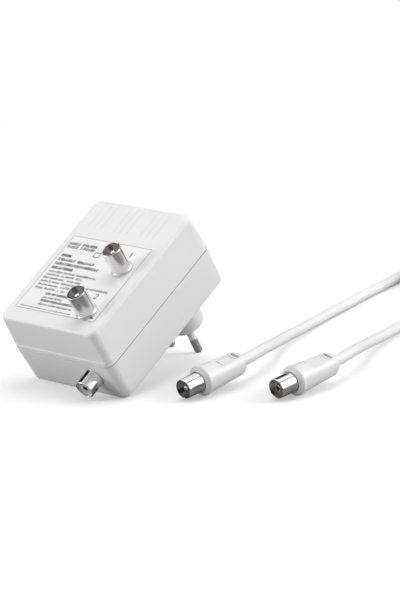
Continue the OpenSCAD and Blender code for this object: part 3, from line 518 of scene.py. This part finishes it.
def casing_ring(z, inset=0.0, top=None, level=None, blend=0.5, n=12, side=0.0):
    """A rounded rectangle at the height z of the casing.

    It is as wide as the casing at level, less inset all round and side at its sides. Its ends are
    kept under top.
    """
    level = z if level is None else level
    w, h = half_w(level) - inset - side, half_h(level) - inset
    r = max(CORNER_R - inset, 0.3)
    ring = []
    for quarter, (sx, sy) in enumerate(((1, 1), (-1, 1), (-1, -1), (1, -1))):
        for i in range(n + 1):
            a = math.radians(90 * quarter + 90 * i / n)
            x, y = sx * (w - r) + r * math.cos(a), sy * (h - r) + r * math.sin(a)
            if top is not None:
                y = math.copysign(lower_of(abs(y), top, blend), y)
            ring.append((x, y, z))
    return ring


def front_rings():
    """From the inside of the front wall down to the rim, and up outside over the ledge and the edge."""
    rim = PART_Z + SEAM / 2
    rings = [casing_ring(-WALL, WALL + 1.6), casing_ring(-WALL - 0.5, WALL + 0.5),
             casing_ring(-WALL - 1.8, WALL)]
    rings += [casing_ring(z, WALL) for z in (-8, -14, rim)]
    rings += [casing_ring(rim, 0.16), casing_ring(rim + 0.05, 0.05), casing_ring(rim + 0.16, 0)]
    outer = half_h(LEDGE_Z)
    rings += [casing_ring(LEDGE_Z - 0.25, top=outer + 0.01, blend=0.01),
              casing_ring(LEDGE_Z - 0.08, top=outer - 0.08, blend=0.01),
              casing_ring(LEDGE_Z, top=outer - 0.25, blend=0.01),
              casing_ring(LEDGE_Z, top=PANEL_Y + 0.12, blend=0.2, side=SIDE_IN / 2),
              casing_ring(LEDGE_Z + 0.05, top=PANEL_Y + 0.03, blend=0.4, side=SIDE_IN),
              casing_ring(LEDGE_Z + 0.15, top=PANEL_Y, side=SIDE_IN)]
    rings += [casing_ring(z, top=PANEL_Y, side=SIDE_IN) for z in (-17, -14, -11, -8, -5, -3.5, -2.6)]
    for i in range(0, 13):
        a = math.radians(90 * i / 12)
        z, inset = -FRONT_EDGE + FRONT_EDGE * math.sin(a), FRONT_EDGE * (1 - math.cos(a))
        rings.append(casing_ring(z, inset, top=PANEL_Y, level=-FRONT_EDGE, side=SIDE_IN))
    return rings


def vent_tool(x):
    """A groove that runs up the face, over the edge and a little way down the end."""
    h = half_h(-FRONT_EDGE)
    start = half_h(PART_Z) - VENT_LEN - FRONT_DRAFT_H
    inner = [(start, 1.0), (start, 0), (start + 0.35, -0.35), (start + 0.8, -VENT_DEEP)]
    r = FRONT_EDGE - VENT_DEEP
    for i in range(0, 9):
        a = math.radians(90 - 90 * i / 8)
        inner.append((h - FRONT_EDGE + r * math.cos(a), -FRONT_EDGE + r * math.sin(a)))
    inner += [(h - VENT_DEEP, VENT_END), (h + 1.5, VENT_END), (h + 1.5, 1.0)]
    return prism("tool", inner, x - VENT_W / 2, x + VENT_W / 2)


def hole_tool(place, r, low, high):
    return moved(turned("tool", [(0, low), (r, low), (r, high), (0, high)], 48), place)


front = skin("casing_front", front_rings())
vents = [g * VENT_GROUP + i * VENT_PITCH - VENT_ASIDE for g in (-1, 0, 1) for i in (-1, 0, 1)]
carve(front, [vent_tool(x) for x in vents])
carve(front, [hole_tool(shift(x, y, 0), OUTPUT_HOLE, -4, 2) for x, y in OUTPUTS])
softened(front, 0.1)
place_piece(front, CASING, "amplifier", FRONT, ["front_shell"])

LEAN = math.degrees(math.asin(TIP_IN / PIN_LEN))
PINS = {
    side: shift(side * PIN_X, PLUG_Y, FOOT_Z) @ turn(side * LEAN, "Y") @ turn(180, "X")
    for side in (-1, 1)
}
INPUT = shift(INPUT_X, -half_h(INPUT_Z), INPUT_Z) @ turn(90, "X")


def rear_rings():
    """From the inside of the back wall up to the rim, and down outside to the back."""
    rim = PART_Z - SEAM / 2
    floor = BACK_Z + WALL
    rings = [casing_ring(floor, WALL + 1), casing_ring(floor + 0.4, WALL + 0.3), casing_ring(floor + 1, WALL)]
    rings += [casing_ring(z, WALL) for z in (-34, -28, rim)]
    rings += [casing_ring(rim, 0.16), casing_ring(rim - 0.05, 0.05), casing_ring(rim - 0.16, 0)]
    rings += [casing_ring(z) for z in (-25, -29, -33, -37)]
    level = BACK_Z + REAR_EDGE
    for i in range(0, 9):
        a = math.radians(90 * i / 8)
        rings.append(casing_ring(level - REAR_EDGE * math.sin(a), REAR_EDGE * (1 - math.cos(a)), level=level))
    return rings


def foot_ring(z, x, r, n=24):
    """Two half circles of radius r, x to each side of the foot's middle, joined by straight sides."""
    ring = []
    for side in (1, -1):
        for i in range(n + 1):
            a = math.radians(-90 + 180 * i / n) + (0 if side > 0 else math.pi)
            ring.append((side * x + r * math.cos(a), PLUG_Y + r * math.sin(a), z))
    return ring


FOOT_X, FOOT_R, FOOT_BASE_R, FOOT_FILLET = 11.5, 9.8, 10.5, 0.7
FOOT_END_X, FOOT_END_R, FOOT_EDGE = 10.7, 7.6, 1.0


def foot_rings():
    """The foot from its root in the back: a step, a taper, and the rounded edge of its face."""
    rings = [foot_ring(BACK_Z + 1.2, FOOT_X, FOOT_BASE_R), foot_ring(BACK_Z - 0.05, FOOT_X, FOOT_BASE_R)]
    for i in range(0, 5):
        a = math.radians(90 * i / 4)
        z, r = BACK_Z - 0.05 - FOOT_FILLET * math.sin(a), FOOT_R + FOOT_FILLET * math.cos(a)
        rings.append(foot_ring(z, FOOT_X, r))
    top, bottom = BACK_Z - 0.75, FOOT_Z + FOOT_EDGE
    for t in (0.15, 0.3, 0.45, 0.6, 0.75, 0.9, 1.0):
        rings.append(foot_ring(top + t * (bottom - top), FOOT_X - 0.8 * t, FOOT_R - 1.2 * t ** 0.9))
    for i in range(1, 7):
        a = math.radians(90 * i / 6)
        z, r = bottom - FOOT_EDGE * math.sin(a), FOOT_END_R + FOOT_EDGE * math.cos(a)
        rings.append(foot_ring(z, FOOT_END_X, r))
    return rings


rear = skin("casing_rear", rear_rings())
carve(rear, [skin("tool", foot_rings())], "UNION")
carve(rear, [hole_tool(shift(x, y, 0), WELL_R, BACK_Z - 2, BACK_Z + WELL_DEEP) for x, y in WELLS])
carve(rear, [hole_tool(INPUT, INPUT_HOLE, -8, 4)])
carve(rear, [hole_tool(PINS[side], PIN_HOLE, -0.5, 1) for side in (-1, 1)])
softened(rear, 0.1)
place_piece(rear, CASING, "amplifier", REAR, ["rear_shell"])

# Label

LABEL_L, LABEL_R, LABEL_LOW, LABEL_TOP = -25.2, 25.2, -33.0, 15.3
FILM_T, FILM_R = 0.2, 0.5


def plate_outline(x0, x1, y0, y1, r, n=5):
    """A rectangle's outline with rounded corners."""
    points = []
    middles = ((x1 - r, y1 - r), (x0 + r, y1 - r), (x0 + r, y0 + r), (x1 - r, y0 + r))
    for quarter, (cx, cy) in enumerate(middles):
        for i in range(n + 1):
            a = math.radians(90 * (quarter + i / n))
            points.append((cx + r * math.cos(a), cy + r * math.sin(a)))
    return points


film_edge = plate_outline(LABEL_L, LABEL_R, LABEL_LOW, LABEL_TOP, FILM_R)
film = skin("label_film", [[(x, y, z) for x, y in film_edge] for z in (0, FILM_T)])
carve(film, [hole_tool(shift(x, y, 0), LABEL_HOLE, -1, 1) for x, y in OUTPUTS])
softened(film, 0.04)
place_piece(film, CASING, "amplifier", FILM, ["label"])


class Print:
    """Thin marks on the film, gathered into one mesh."""

    def __init__(self, seed):
        self.corners, self.faces = [], []
        self.draw = random.Random(seed)

    def box(self, corners):
        """A flat four-cornered mark."""
        at = len(self.corners)
        for z in (FILM_T - 0.01, FILM_T + 0.012):
            self.corners += [(x, y, z) for x, y in corners]
        self.faces += [(at + 3, at + 2, at + 1, at), (at + 4, at + 5, at + 6, at + 7)]
        self.faces += [(at + k, at + (k + 1) % 4, at + 4 + (k + 1) % 4, at + 4 + k) for k in range(4)]

    def bar(self, x0, x1, y0, y1):
        self.box([(x0, y0), (x1, y0), (x1, y1), (x0, y1)])

    def words(self, x0, x1, y, high, heavy):
        """A word's worth of stems and crossbars: not letters, but as dark as print of that size."""
        draw = self.draw
        stem = high * (0.33 if heavy else 0.21)
        x = x0
        while x < x1 - 0.2:
            wide = min(high * draw.uniform(0.42, 0.62) * (1.35 if heavy else 1), x1 - x)
            low, top = y - high / 2, y - high / 2 + high * (1 if heavy or draw.random() < 0.35 else 0.76)
            self.bar(x, x + stem, low, top)
            for level in draw.sample((0.0, 0.42, 1.0), draw.choice((1, 2, 2))):
                at = low + (top - low - stem) * level
                self.bar(x + stem, x + wide * 0.95, at, at + stem * 0.85)
            if draw.random() < 0.55:
                self.bar(x + wide - stem, x + wide, low, top)
            x += wide + high * 0.2

    def line(self, points, wide):
        """A stroke through the points."""
        for (ax, ay), (bx, by) in zip(points, points[1:]):
            d = Vector((bx - ax, by - ay)).normalized() * wide / 2
            self.box([(ax - d.x + d.y, ay - d.y - d.x), (bx + d.x + d.y, by + d.y - d.x),
                      (bx + d.x - d.y, by + d.y + d.x), (ax - d.x - d.y, ay - d.y + d.x)])


marks = Print(7)

# The heading: two rows of three words.
for x0, x1 in ((-23.9, -16.4), (-15.2, -6.4), (-1.5, 9.2)):
    for y in (10.4, 8.2):
        marks.words(x0, x1, y, 1.7, True)

# The rows below it: where each lies on the film, how high its print is, whether it is heavy, and
# from where to where its words run.
ROWS = (
    (2.4, 1.7, True, ((-22.9, -16.9),)),
    (-0.3, 1.7, True, ((-22.9, -11.6), (-10.4, 0.2))),
    (-3.0, 1.7, True, ((-22.9, 4.8),)),
    (-5.8, 1.7, True, ((-22.9, -9.5),)),
    (-8.3, 1.3, False, ((-22.9, -18.6), (-17.8, -14), (-12.8, -10.8), (-10, -6.2), (-5, 7.3))),
    (-10.4, 1.3, False, ((-22.9, -14.6), (-12.9, -5.4), (-3.6, 0.4))),
    (-12.6, 1.3, False, ((-22.9, -20), (-18.9, -9.8), (-7.6, -3.6), (-2.6, 0.9))),
    (-14.8, 1.3, False, ((-22.9, -16.4), (-15.6, -10.8), (-9.4, 7.9), (8.6, 20.2))),
    (-17.0, 1.3, False, ((-22.9, -10.4), (-8.6, -3))),
    (-19.3, 1.3, False, ((-22.9, -18.4), (-16.9, -10.2), (-8.6, -7.6), (-6.6, -3.7))),
    (-22.1, 1.4, True, ((-13.8, -10.5), (-9.7, -7.6), (-6.8, 7))),
    (-24.4, 1.3, False, ((-13.8, -11.4), (-10.4, -7.4), (-6.4, -1.6))),
    (-26.5, 1.4, True, ((-13.8, 8.6),)),
    (-28.8, 1.3, False, ((-13.8, -8), (-6.9, -2.6), (-1.6, 7.7))),
    (-31.5, 0.8, False, ((-22.9, -18), (-17.3, -9), (-8, -6.8), (-6, -5), (-4.2, 4.4), (5.1, 9.7))),
    (-30.8, 1.1, True, ((20.8, 23.6),)),
)
for y, high, heavy, spans in ROWS:
    for x0, x1 in spans:
        marks.words(x0, x1, y, high, heavy)

# A plain square, the numbers of the two outputs, and the line round the film.
marks.line([(-4.6, 4.6), (-1.2, 4.6), (-1.2, 7.4), (-4.6, 7.4), (-4.6, 4.6)], 0.35)
marks.line([(15.1, 10.3), (16.1, 11.1), (16.1, 8.2)], 0.42)
marks.line([(14.6, -17.4), (14.9, -16.9), (15.5, -16.7), (16.2, -17), (16.3, -17.6), (15.9, -18.3),
            (14.6, -19.6), (16.4, -19.6)], 0.42)
LINE_W = 0.16
inner_edge = plate_outline(LABEL_L + LINE_W, LABEL_R - LINE_W, LABEL_LOW + LINE_W, LABEL_TOP - LINE_W,
                           FILM_R - 0.1)
for k in range(len(film_edge)):
    m = (k + 1) % len(film_edge)
    marks.box([film_edge[k], film_edge[m], inner_edge[m], inner_edge[k]])
label_print = mesh_of("label_print", marks.corners, marks.faces)
place_piece(label_print, CASING, "amplifier", INK)

# Connectors and mains pins

BARREL_R, BORE_R, PIN_R, CONTACT_R, SOCKET_DEEP = 4.75, 4.3, 1.2, 1.7, 8


def slit(low, high, angle, wide, mouth, spread=3.0):
    """A tool for the open seam of a rolled barrel. It widens to its mouth over the last spread."""
    widths = ((low, wide), (high - spread, wide), (high - spread / 3, (wide + mouth) / 2), (high, mouth),
              (high + 1, mouth + 0.2))
    rings = [[(3.6, -w / 2, z), (5.4, -w / 2, z), (5.4, w / 2, z), (3.6, w / 2, z)] for z, w in widths]
    return moved(skin("tool", rings), turn(angle, "Z"))


def tube_outline(low, high, root_r, root_top, collar=()):
    """A rolled barrel: slim root, wall, and a rim rounded inside and out."""
    outline = [(BORE_R, low), (root_r, low), (root_r, root_top)] + list(collar)
    outline += [(BARREL_R, high - 0.32), (BARREL_R - 0.03, high - 0.18), (BARREL_R - 0.1, high - 0.06),
                (BARREL_R - 0.2, high), (BORE_R + 0.08, high), (BORE_R, high - 0.08)]
    return outline


def dome(r, round_r, n=6):
    """The rounded end of a pin, below its tip at 0."""
    return [(r - round_r + round_r * math.cos(math.radians(90 * i / n)),
             -round_r + round_r * math.sin(math.radians(90 * i / n))) for i in range(n + 1)]


def pin_outline(low, tip, r, round_r):
    """A round pin from low to its rounded tip."""
    return [(0, low), (r, low)] + [(x, tip + z) for x, z in dome(r, round_r)] + [(0, tip)]


COLLAR_R, COLLAR_H, OUT_LEN, CORE_H = 5.2, 1.5, 13.0, 2.5
THIN_SEAM, WIDE_SEAM = -36, 19
collar = [(BARREL_R, 0.02), (COLLAR_R, 0.02), (COLLAR_R, COLLAR_H - 0.7), (COLLAR_R - 0.06, COLLAR_H - 0.45),
          (COLLAR_R - 0.2, COLLAR_H - 0.2), (COLLAR_R - 0.35, COLLAR_H - 0.1), (BARREL_R, COLLAR_H)]
for k, (x, y) in enumerate(OUTPUTS, 1):
    place = CASING @ shift(x, y, 0)
    barrel = turned(f"output_{k}_tube", tube_outline(-7.1, OUT_LEN, BARREL_R, 0.01, collar))
    carve(barrel, [slit(COLLAR_H + 0.8, OUT_LEN, THIN_SEAM, 0.12, 0.2),
                   slit(COLLAR_H + 1.2, OUT_LEN, WIDE_SEAM, 0.55, 1.0, 8)])
    softened(barrel, 0.05, 40)
    place_piece(barrel, place, "amplifier", NICKEL, [f"output_{k}_barrel"])
    core = turned(f"output_{k}_core", [
        (PIN_R, -1), (BORE_R - 0.05, -1), (BORE_R - 0.05, CORE_H - 0.1), (BORE_R - 0.2, CORE_H),
        (PIN_R + 0.6, CORE_H), (PIN_R + 0.5, CORE_H + 0.4), (PIN_R, CORE_H + 0.4)])
    softened(core, 0.06)
    place_piece(core, place, "amplifier", IVORY, [f"output_{k}_insulator"])
    tip = turned(f"output_{k}_centre", pin_outline(-1, OUT_LEN - 1.2, PIN_R, 0.95), 48)
    softened(tip, 0.03, 50)
    place_piece(tip, place, "amplifier", PIN_METAL, [f"output_{k}_pin"])

IN_LEN, IN_CORE, IN_SEAM, IN_SLOT = 8.5, 7.6, 60, 106


def spring_slot():
    """A tool for the long slot that lets the barrel give."""
    return moved(block("tool", (2.6, -1.5, 0.3), (5.4, 1.5, IN_LEN - 0.8)), turn(IN_SLOT, "Z"))


barrel = turned("input_tube", tube_outline(-9, IN_LEN, BARREL_R, -8.9))
carve(barrel, [slit(0.7, IN_LEN, IN_SEAM, 0.14, 0.3), spring_slot()])
softened(barrel, 0.05, 40)
place_piece(barrel, CASING @ INPUT, "amplifier", CHROME, ["input_barrel"])
core = turned("input_core", [
    (CONTACT_R + 0.05, -2.2), (BORE_R - 0.05, -2.2), (BORE_R - 0.05, IN_CORE - 0.15), (BORE_R - 0.2, IN_CORE),
    (CONTACT_R - 0.1, IN_CORE), (CONTACT_R - 0.2, IN_CORE - 0.1), (CONTACT_R - 0.2, IN_CORE - 0.25),
    (CONTACT_R + 0.05, IN_CORE - 0.25)])
carve(core, [spring_slot()])
softened(core, 0.05)
place_piece(core, CASING @ INPUT, "amplifier", LILAC, ["input_insulator"])

# A matte black block fills the slot: painted shade, standing in for the dark reflection along the barrel.
slot_shade_block = moved(block("input_slot_painted_shade", (2.55, -1.55, 0.25), (4.1, 1.55, IN_LEN - 1.15)), turn(IN_SLOT, "Z"))
softened(slot_shade_block, 0.05)
place_piece(slot_shade_block, CASING @ INPUT, "amplifier", SLOT_PAINTED_SHADE)


def socket_outline(low, mouth):
    """A contact tube that is open at its mouth, with its lip turned in."""
    r, deep = CONTACT_R, mouth - SOCKET_DEEP
    return [(0, low), (r, low), (r, mouth - 0.3), (r - 0.1, mouth - 0.08), (r - 0.25, mouth),
            (PIN_R + 0.12, mouth), (PIN_R, mouth - 0.15), (PIN_R, deep), (0, deep)]


# The contact's finish is darkened as painted shade for its deep hole.
contact = turned("input_socket", socket_outline(-4.2, IN_CORE - 0.3), 64)
softened(contact, 0.04, 50)
place_piece(contact, CASING @ INPUT, "amplifier", BRASS_PAINTED_SHADE, ["input_contact"])

for side, word in ((-1, "left"), (1, "right")):
    blade = turned(f"mains_{word}_pin", [
        (0, -12), (1.5, -12), (1.5, SLEEVE_LEN + 0.02), (1.95, SLEEVE_LEN + 0.02), (2, SLEEVE_LEN + 0.1)]
        + [(x, PIN_LEN + z) for x, z in dome(2.0, 1.4, 8)] + [(0, PIN_LEN)], 64)
    softened(blade, 0.05, 50)
    place_piece(blade, CASING @ PINS[side], "amplifier", BLADE, [f"mains_pin_{word}"])
    sleeve = turned(f"mains_{word}_sleeve", [
        (1.55, -7), (1.78, -7), (1.78, 0), (1.86, 0.4), (1.88, SLEEVE_LEN - 0.3), (1.8, SLEEVE_LEN),
        (1.55, SLEEVE_LEN)], 64)
    softened(sleeve, 0.05, 50)
    place_piece(sleeve, CASING @ PINS[side], "amplifier", SLEEVE, [f"pin_sleeve_{word}"])

# Lead

# A hood runs from its rounded rear end at 0, over two flats and out of them, to the ring behind its
# mouth. Its barrel begins inside it, at GRIP.

MOUTH, GRIP = HOOD_LEN + BARREL_LEN, 22.05
FLAT, REAR_R, FRONT_R = 4.8, 5.85, 6.85
ROUND_H, ROUND_R, FLAT_END, RING_Z, HOOD_MOUTH_R = 2.6, 2.2, 15.4, 24.2, 5.1
NO_FLAT = 9


def hood_radius(z):
    if z <= ROUND_H:
        a = math.acos(min(max((ROUND_H - z) / ROUND_H, 0), 1))
        return REAR_R - ROUND_R + ROUND_R * math.sin(a)
    return REAR_R + (FRONT_R - REAR_R) * min((z - ROUND_H) / (RING_Z - ROUND_H), 1)


def hood_flat(z):
    """How far the two flats lie from the middle."""
    rise = max(z - FLAT_END, 0)
    return FLAT + rise * rise / (rise + 0.6) * 0.75


def hood_ring(z, r, flat, n=96):
    ring = []
    for k in range(n):
        a = 2 * math.pi * k / n
        x, y = r * math.cos(a), r * math.sin(a)
        ring.append((x, math.copysign(lower_of(abs(y), flat, 0.3), y), z))
    return ring


def hood_rings():
    """From the cable's hole over the flats and the ring, and into the mouth."""
    rings = [hood_ring(0, 2.7, NO_FLAT)]
    stations = [0, 0.04, 0.2, 0.5, 0.9, 1.4, 2.0, ROUND_H] + [3 + i for i in range(12)]
    stations += [14.6 + 0.3 * i for i in range(22)] + [21.6, 22.6, 23.6, 24.3]
    rings += [hood_ring(z, hood_radius(z), hood_flat(z)) for z in stations]
    ring_and_mouth = (
        (24.4, 6.9), (24.42, 7.1), (24.5, 7.2), (24.65, RING_R), (25.1, RING_R), (25.35, 7.17), (25.6, 6.95),
        (26.2, 6.3), (26.75, 5.72), (26.93, 5.5), (HOOD_LEN, 5.3), (HOOD_LEN, 5.12), (26.9, HOOD_MOUTH_R),
        (26, HOOD_MOUTH_R), (26, 4.6), (22, 4.6),
    )
    return rings + [hood_ring(z, r, NO_FLAT) for z, r in ring_and_mouth]


def bar_tool(x0, x1, y0, y1, z0, z1):
    return block("tool", (x0, y0, z0), (x1, y1, z1))


def make_hood(name, place, node, male):
    """A hood, with the marks that are moulded in its upper flat."""
    hood = skin(name, hood_rings())
    recess = (5.2, 12.8) if male else (5.3, 11.2)
    carve(hood, [bar_tool(-2.25, 2.25, FLAT - 0.35, 9, *recess)])
    carve(hood, [bar_tool(-2.7, 2.7, FLAT - 1.8, 9, 2.4, 4.1)])
    lugs = [bar_tool(side * 2.3 - 0.4, side * 2.3 + 0.4, FLAT - 1, FLAT + 0.14, 4.1, 4.8) for side in (-1, 1)]
    if male:
        carve(hood, [bar_tool(-2.5, 2.5, FLAT - 0.5, 9, 13.3, 13.75)])
    carve(hood, lugs, "UNION")
    softened(hood, 0.08, 40)
    return place_piece(hood, place, "lead", HOOD, [node])


LEAD_SEAM = 64
hoods, tubes = [], []
for word, place in (("male", MALE), ("female", FEMALE)):
    male = word == "male"
    hoods.append(make_hood(f"{word}_hood", place, f"lead_{word}_hood", male))
    step = [(BARREL_R, HOOD_LEN - 0.7)]
    barrel = turned(f"{word}_tube", tube_outline(GRIP, MOUTH, BARREL_R - 0.2, HOOD_LEN - 0.9, step))
    carve(barrel, [slit(HOOD_LEN + 0.2, MOUTH, LEAD_SEAM, 0.3, 0.5)])
    softened(barrel, 0.05, 40)
    tubes.append(place_piece(barrel, place, "lead", CHROME, [f"lead_{word}_barrel"]))
    hole_r, top = (PIN_R, 26.05) if male else (CONTACT_R, 29.05)
    core = turned(f"{word}_core", [
        (hole_r + 0.05, GRIP), (BORE_R - 0.05, GRIP), (BORE_R - 0.05, top - 0.15), (BORE_R - 0.2, top),
        (hole_r + 0.3, top), (hole_r + 0.05, top - 0.2)])
    softened(core, 0.05)
    tubes.append(place_piece(core, place, "lead", IVORY, [f"lead_{word}_insulator"]))
    if male:
        centre = turned("male_centre", pin_outline(GRIP + 0.05, MOUTH - 1.2, PIN_R, 0.95), 48)
    else:
        centre = turned("female_socket", socket_outline(GRIP + 0.05, MOUTH - 1), 64)
        carve(centre, [bar_tool(-0.15, 0.15, -2, 2, MOUTH - 6, MOUTH + 1)])
    softened(centre, 0.03, 50)
    node = "lead_male_pin" if male else "lead_female_contact"
    tubes.append(place_piece(centre, place, "lead", PIN_METAL, [node]))

# The strap goes round both layers of the coil, at its far side.
TIE_R, TIE_W, TIE_T = COIL_R + PITCH / 8, 6.0, 0.8
half_x, half_y = PITCH + CORD_D / 2 + 0.6, (PITCH + CORD_D) / 2 + 0.3


def strap_ring(x, grow, r=2.9, n=8):
    """A rounded outline round the turns, which stands off them by grow."""
    ring = []
    for cx, cy, quarter in ((1, 1, 0), (-1, 1, 1), (-1, -1, 2), (1, -1, 3)):
        for i in range(n + 1):
            a = math.radians(90 * (quarter + i / n))
            ring.append((cx * (half_x - r) + (r + grow) * math.cos(a),
                         cy * (half_y - r) + (r + grow) * math.sin(a), x))
    return ring


strap_place = (Matrix.Translation((COIL + Vector((0, 0, PITCH / 2))) * MM) @ turn(COIL_START - 90, "Z")
               @ shift(TIE_R, 0, 0) @ turn(90, "X"))
band = skin("strap", [
    strap_ring(-TIE_W / 2, 0.05), strap_ring(-TIE_W / 2, TIE_T), strap_ring(TIE_W / 2, TIE_T),
    strap_ring(TIE_W / 2, 0.05), strap_ring(-TIE_W / 2, 0.05)], caps=False)
softened(band, 0.2, 40, 3)
place_piece(band, strap_place, "lead", STRAP, ["cable_tie"])

hoods + tubes + [band]

# Inside pieces

# These keep the shapes of the model and only get their finishes.

INSIDE = {
    "casing_screws": STEEL,
    "input_coax": COAX, "live_wire": BROWN, "neutral_wire": BLUE, "secondary_leads": RED,
    "thermal_fuse": CERAMIC, "transformer_core": IRON, "transformer_bobbin": NYLON,
    "primary_winding": COPPER, "secondary_winding": COPPER, "circuit_board": LAMINATE,
    "shield_frame": TINNED, "shield_lid": TINNED, "smoothing_capacitor": FOIL_BLUE,
    "voltage_regulator": EPOXY, "rectifier_diodes": EPOXY, "rf_transistor": EPOXY,
    "resistors": TAN, "ceramic_capacitors": ORANGE, "splitter_core": FERRITE, "tuning_coils": COPPER,
}
for node, finish in INSIDE.items():
    shown = frame["nodes"][node]
    shown.data.materials.clear()
    shown.data.materials.append(finish)

# Stage

# The floor throws light back on the object at FLOOR_TONE. In what gleams its tone is painted: painted shade
# makes it dark near the object, it is brighter to the right of it, and a painted dark reflection makes it
# almost black behind it. The camera sees white paper with soft shadows. STAGE_X and STAGE_Y are the
# middle of the object, in metres.
FLOOR_TONE, NEAR_GLOSS_PAINTED_SHADE, BRIGHT_GLOSS, GLOOM_GLOSS_PAINTED = 0.55, 0.21, 0.5, 0.02
PAPER_TONE, PAPER_GLOW = 0.8, 0.25
STAGE_X, STAGE_Y = 0.04, 0.05


def ray(finish, kind):
    """1 for rays of that kind, and 0 for the others."""
    return Value(finish, finish.node("ShaderNodeLightPath").socket.node.outputs[kind])


def floor_paper():
    f = Finish("floor_paper")
    seen = ray(f, "Is Camera Ray").reckon("MAXIMUM", ray(f, "Is Transmission Ray"))
    x, y, z = f.parts(f.place())
    far = ((x - STAGE_X) ** 2 + (y - STAGE_Y) ** 2) ** 0.5
    behind = ((y - STAGE_Y) * 0.8 - (x - STAGE_X) * 0.6) / far
    # Painted shade and a painted dark reflection: in what gleams, the floor darkens near the object and goes
    # almost black behind it.
    gloom = far.above(0.2, 0.45) * behind.above(0.35, 0.7) * ray(f, "Is Glossy Ray")
    bright = far.above(0.06, 0.25) * (((x - STAGE_X) * 0.75 + (y - STAGE_Y) * 0.65) / far).above(0.5, 0.85)
    gloss = f.mix(bright, (NEAR_GLOSS_PAINTED_SHADE,) * 3, (BRIGHT_GLOSS,) * 3)
    shade = f.mix(ray(f, "Is Glossy Ray"), (FLOOR_TONE,) * 3, gloss)
    shade = f.mix(gloom, shade, (GLOOM_GLOSS_PAINTED,) * 3)
    lighting = f.node("ShaderNodeBsdfDiffuse", None, {"Color": shade})
    paper = f.node("ShaderNodeBsdfDiffuse", None, {"Color": (PAPER_TONE,) * 3})
    glow = f.node("ShaderNodeEmission", None, {"Color": (1, 1, 1), "Strength": PAPER_GLOW})
    white = f.node("ShaderNodeEmission", None, {"Color": (1, 1, 1), "Strength": 1.0})
    lit = f.node("ShaderNodeAddShader", None, {0: paper, 1: glow})
    sweep = f.node("ShaderNodeMixShader", None, {0: far.above(0.25, 0.6), 1: lit, 2: white})
    return f.end(f.node("ShaderNodeMixShader", None, {0: seen, 1: lighting, 2: sweep}))


FLOOR_REACH = 6000
sides = ((-1, -1), (1, -1), (1, 1), (-1, 1))
ground = mesh_of("floor", [(x * FLOOR_REACH, y * FLOOR_REACH, 0) for x, y in sides], [(0, 1, 2, 3)])
ground.data.materials.append(floor_paper())

LAMPS = (
    ("top_softbox", (0.0, 0.1, 1.6), (1.2, 1.2), 11.2),
    ("left_softbox", (-1.5, -0.1, 0.7), (1.0, 1.0), 4.2),
    ("left_front_softbox", (-1.1, -1.1, 0.45), (0.9, 0.7), 12.0),
    ("right_softbox", (1.5, 0.1, 0.7), (1.0, 1.0), 1.0),
    ("right_rear_softbox", (1.2, 1.0, 0.8), (1.0, 1.0), 17.2),
)
LAMPS_AIM = Vector((0.03, 0.03, 0.03))
AMBIENT = 0.32


def lamp(name, at, size, power):
    light = bpy.data.lights.new(name, "AREA")
    light.shape, light.size, light.size_y = "RECTANGLE", size[0], size[1]
    light.energy = power
    obj = bpy.data.objects.new(name, light)
    obj.location = at
    obj.rotation_mode = "QUATERNION"
    obj.rotation_quaternion = (LAMPS_AIM - Vector(at)).to_track_quat("-Z", "Y")
    bpy.context.scene.collection.objects.link(obj)


for name, at, size, power in LAMPS:
    lamp(name, at, size, power)


def towards(w, way, azimuth, elevation):
    """How far a ray points that way, from -1 to 1."""
    a, e = math.radians(azimuth), math.radians(elevation)
    aim = (math.cos(a) * math.cos(e), math.sin(a) * math.cos(e), math.sin(e))
    return w.node("ShaderNodeVectorMath", {"operation": "DOT_PRODUCT"}, {0: way, 1: aim}, out="Value")


def studio(world):
    """White to the camera, and AMBIENT to what it lights.

    In what gleams it is a studio, bright overhead and at the right rear, and dark at the left.
    """
    w = Finish("studio", world)
    way = w.node("ShaderNodeTexCoord", out="Generated")
    ceiling = towards(w, way, 60, 90).above(0.5, 0.8)
    side_wall = towards(w, way, 42, 18).above(0.75, 0.93)
    dark_wall = towards(w, way, 160, 0).above(0.45, 0.78)
    dark_side = dark_wall.reckon("MAXIMUM", towards(w, way, 125, -6).above(0.6, 0.86))
    room = (ceiling.reckon("MAXIMUM", side_wall) * 0.6 + 0.45) * (1 - dark_side * 0.95)
    gleam = ray(w, "Is Glossy Ray")
    seen = ray(w, "Is Camera Ray").reckon("MAXIMUM", ray(w, "Is Transmission Ray"))
    strength = seen + (1 - seen) * (gleam * room + (1 - gleam) * AMBIENT)
    sky = w.node("ShaderNodeBackground", None, {"Color": (1, 1, 1), "Strength": strength})
    w.node("ShaderNodeOutputWorld", None, {"Surface": sky})


bpy.context.scene.world = bpy.data.worlds.new("studio")
studio(bpy.context.scene.world)

bpy.context.scene.view_settings.view_transform = "Standard"
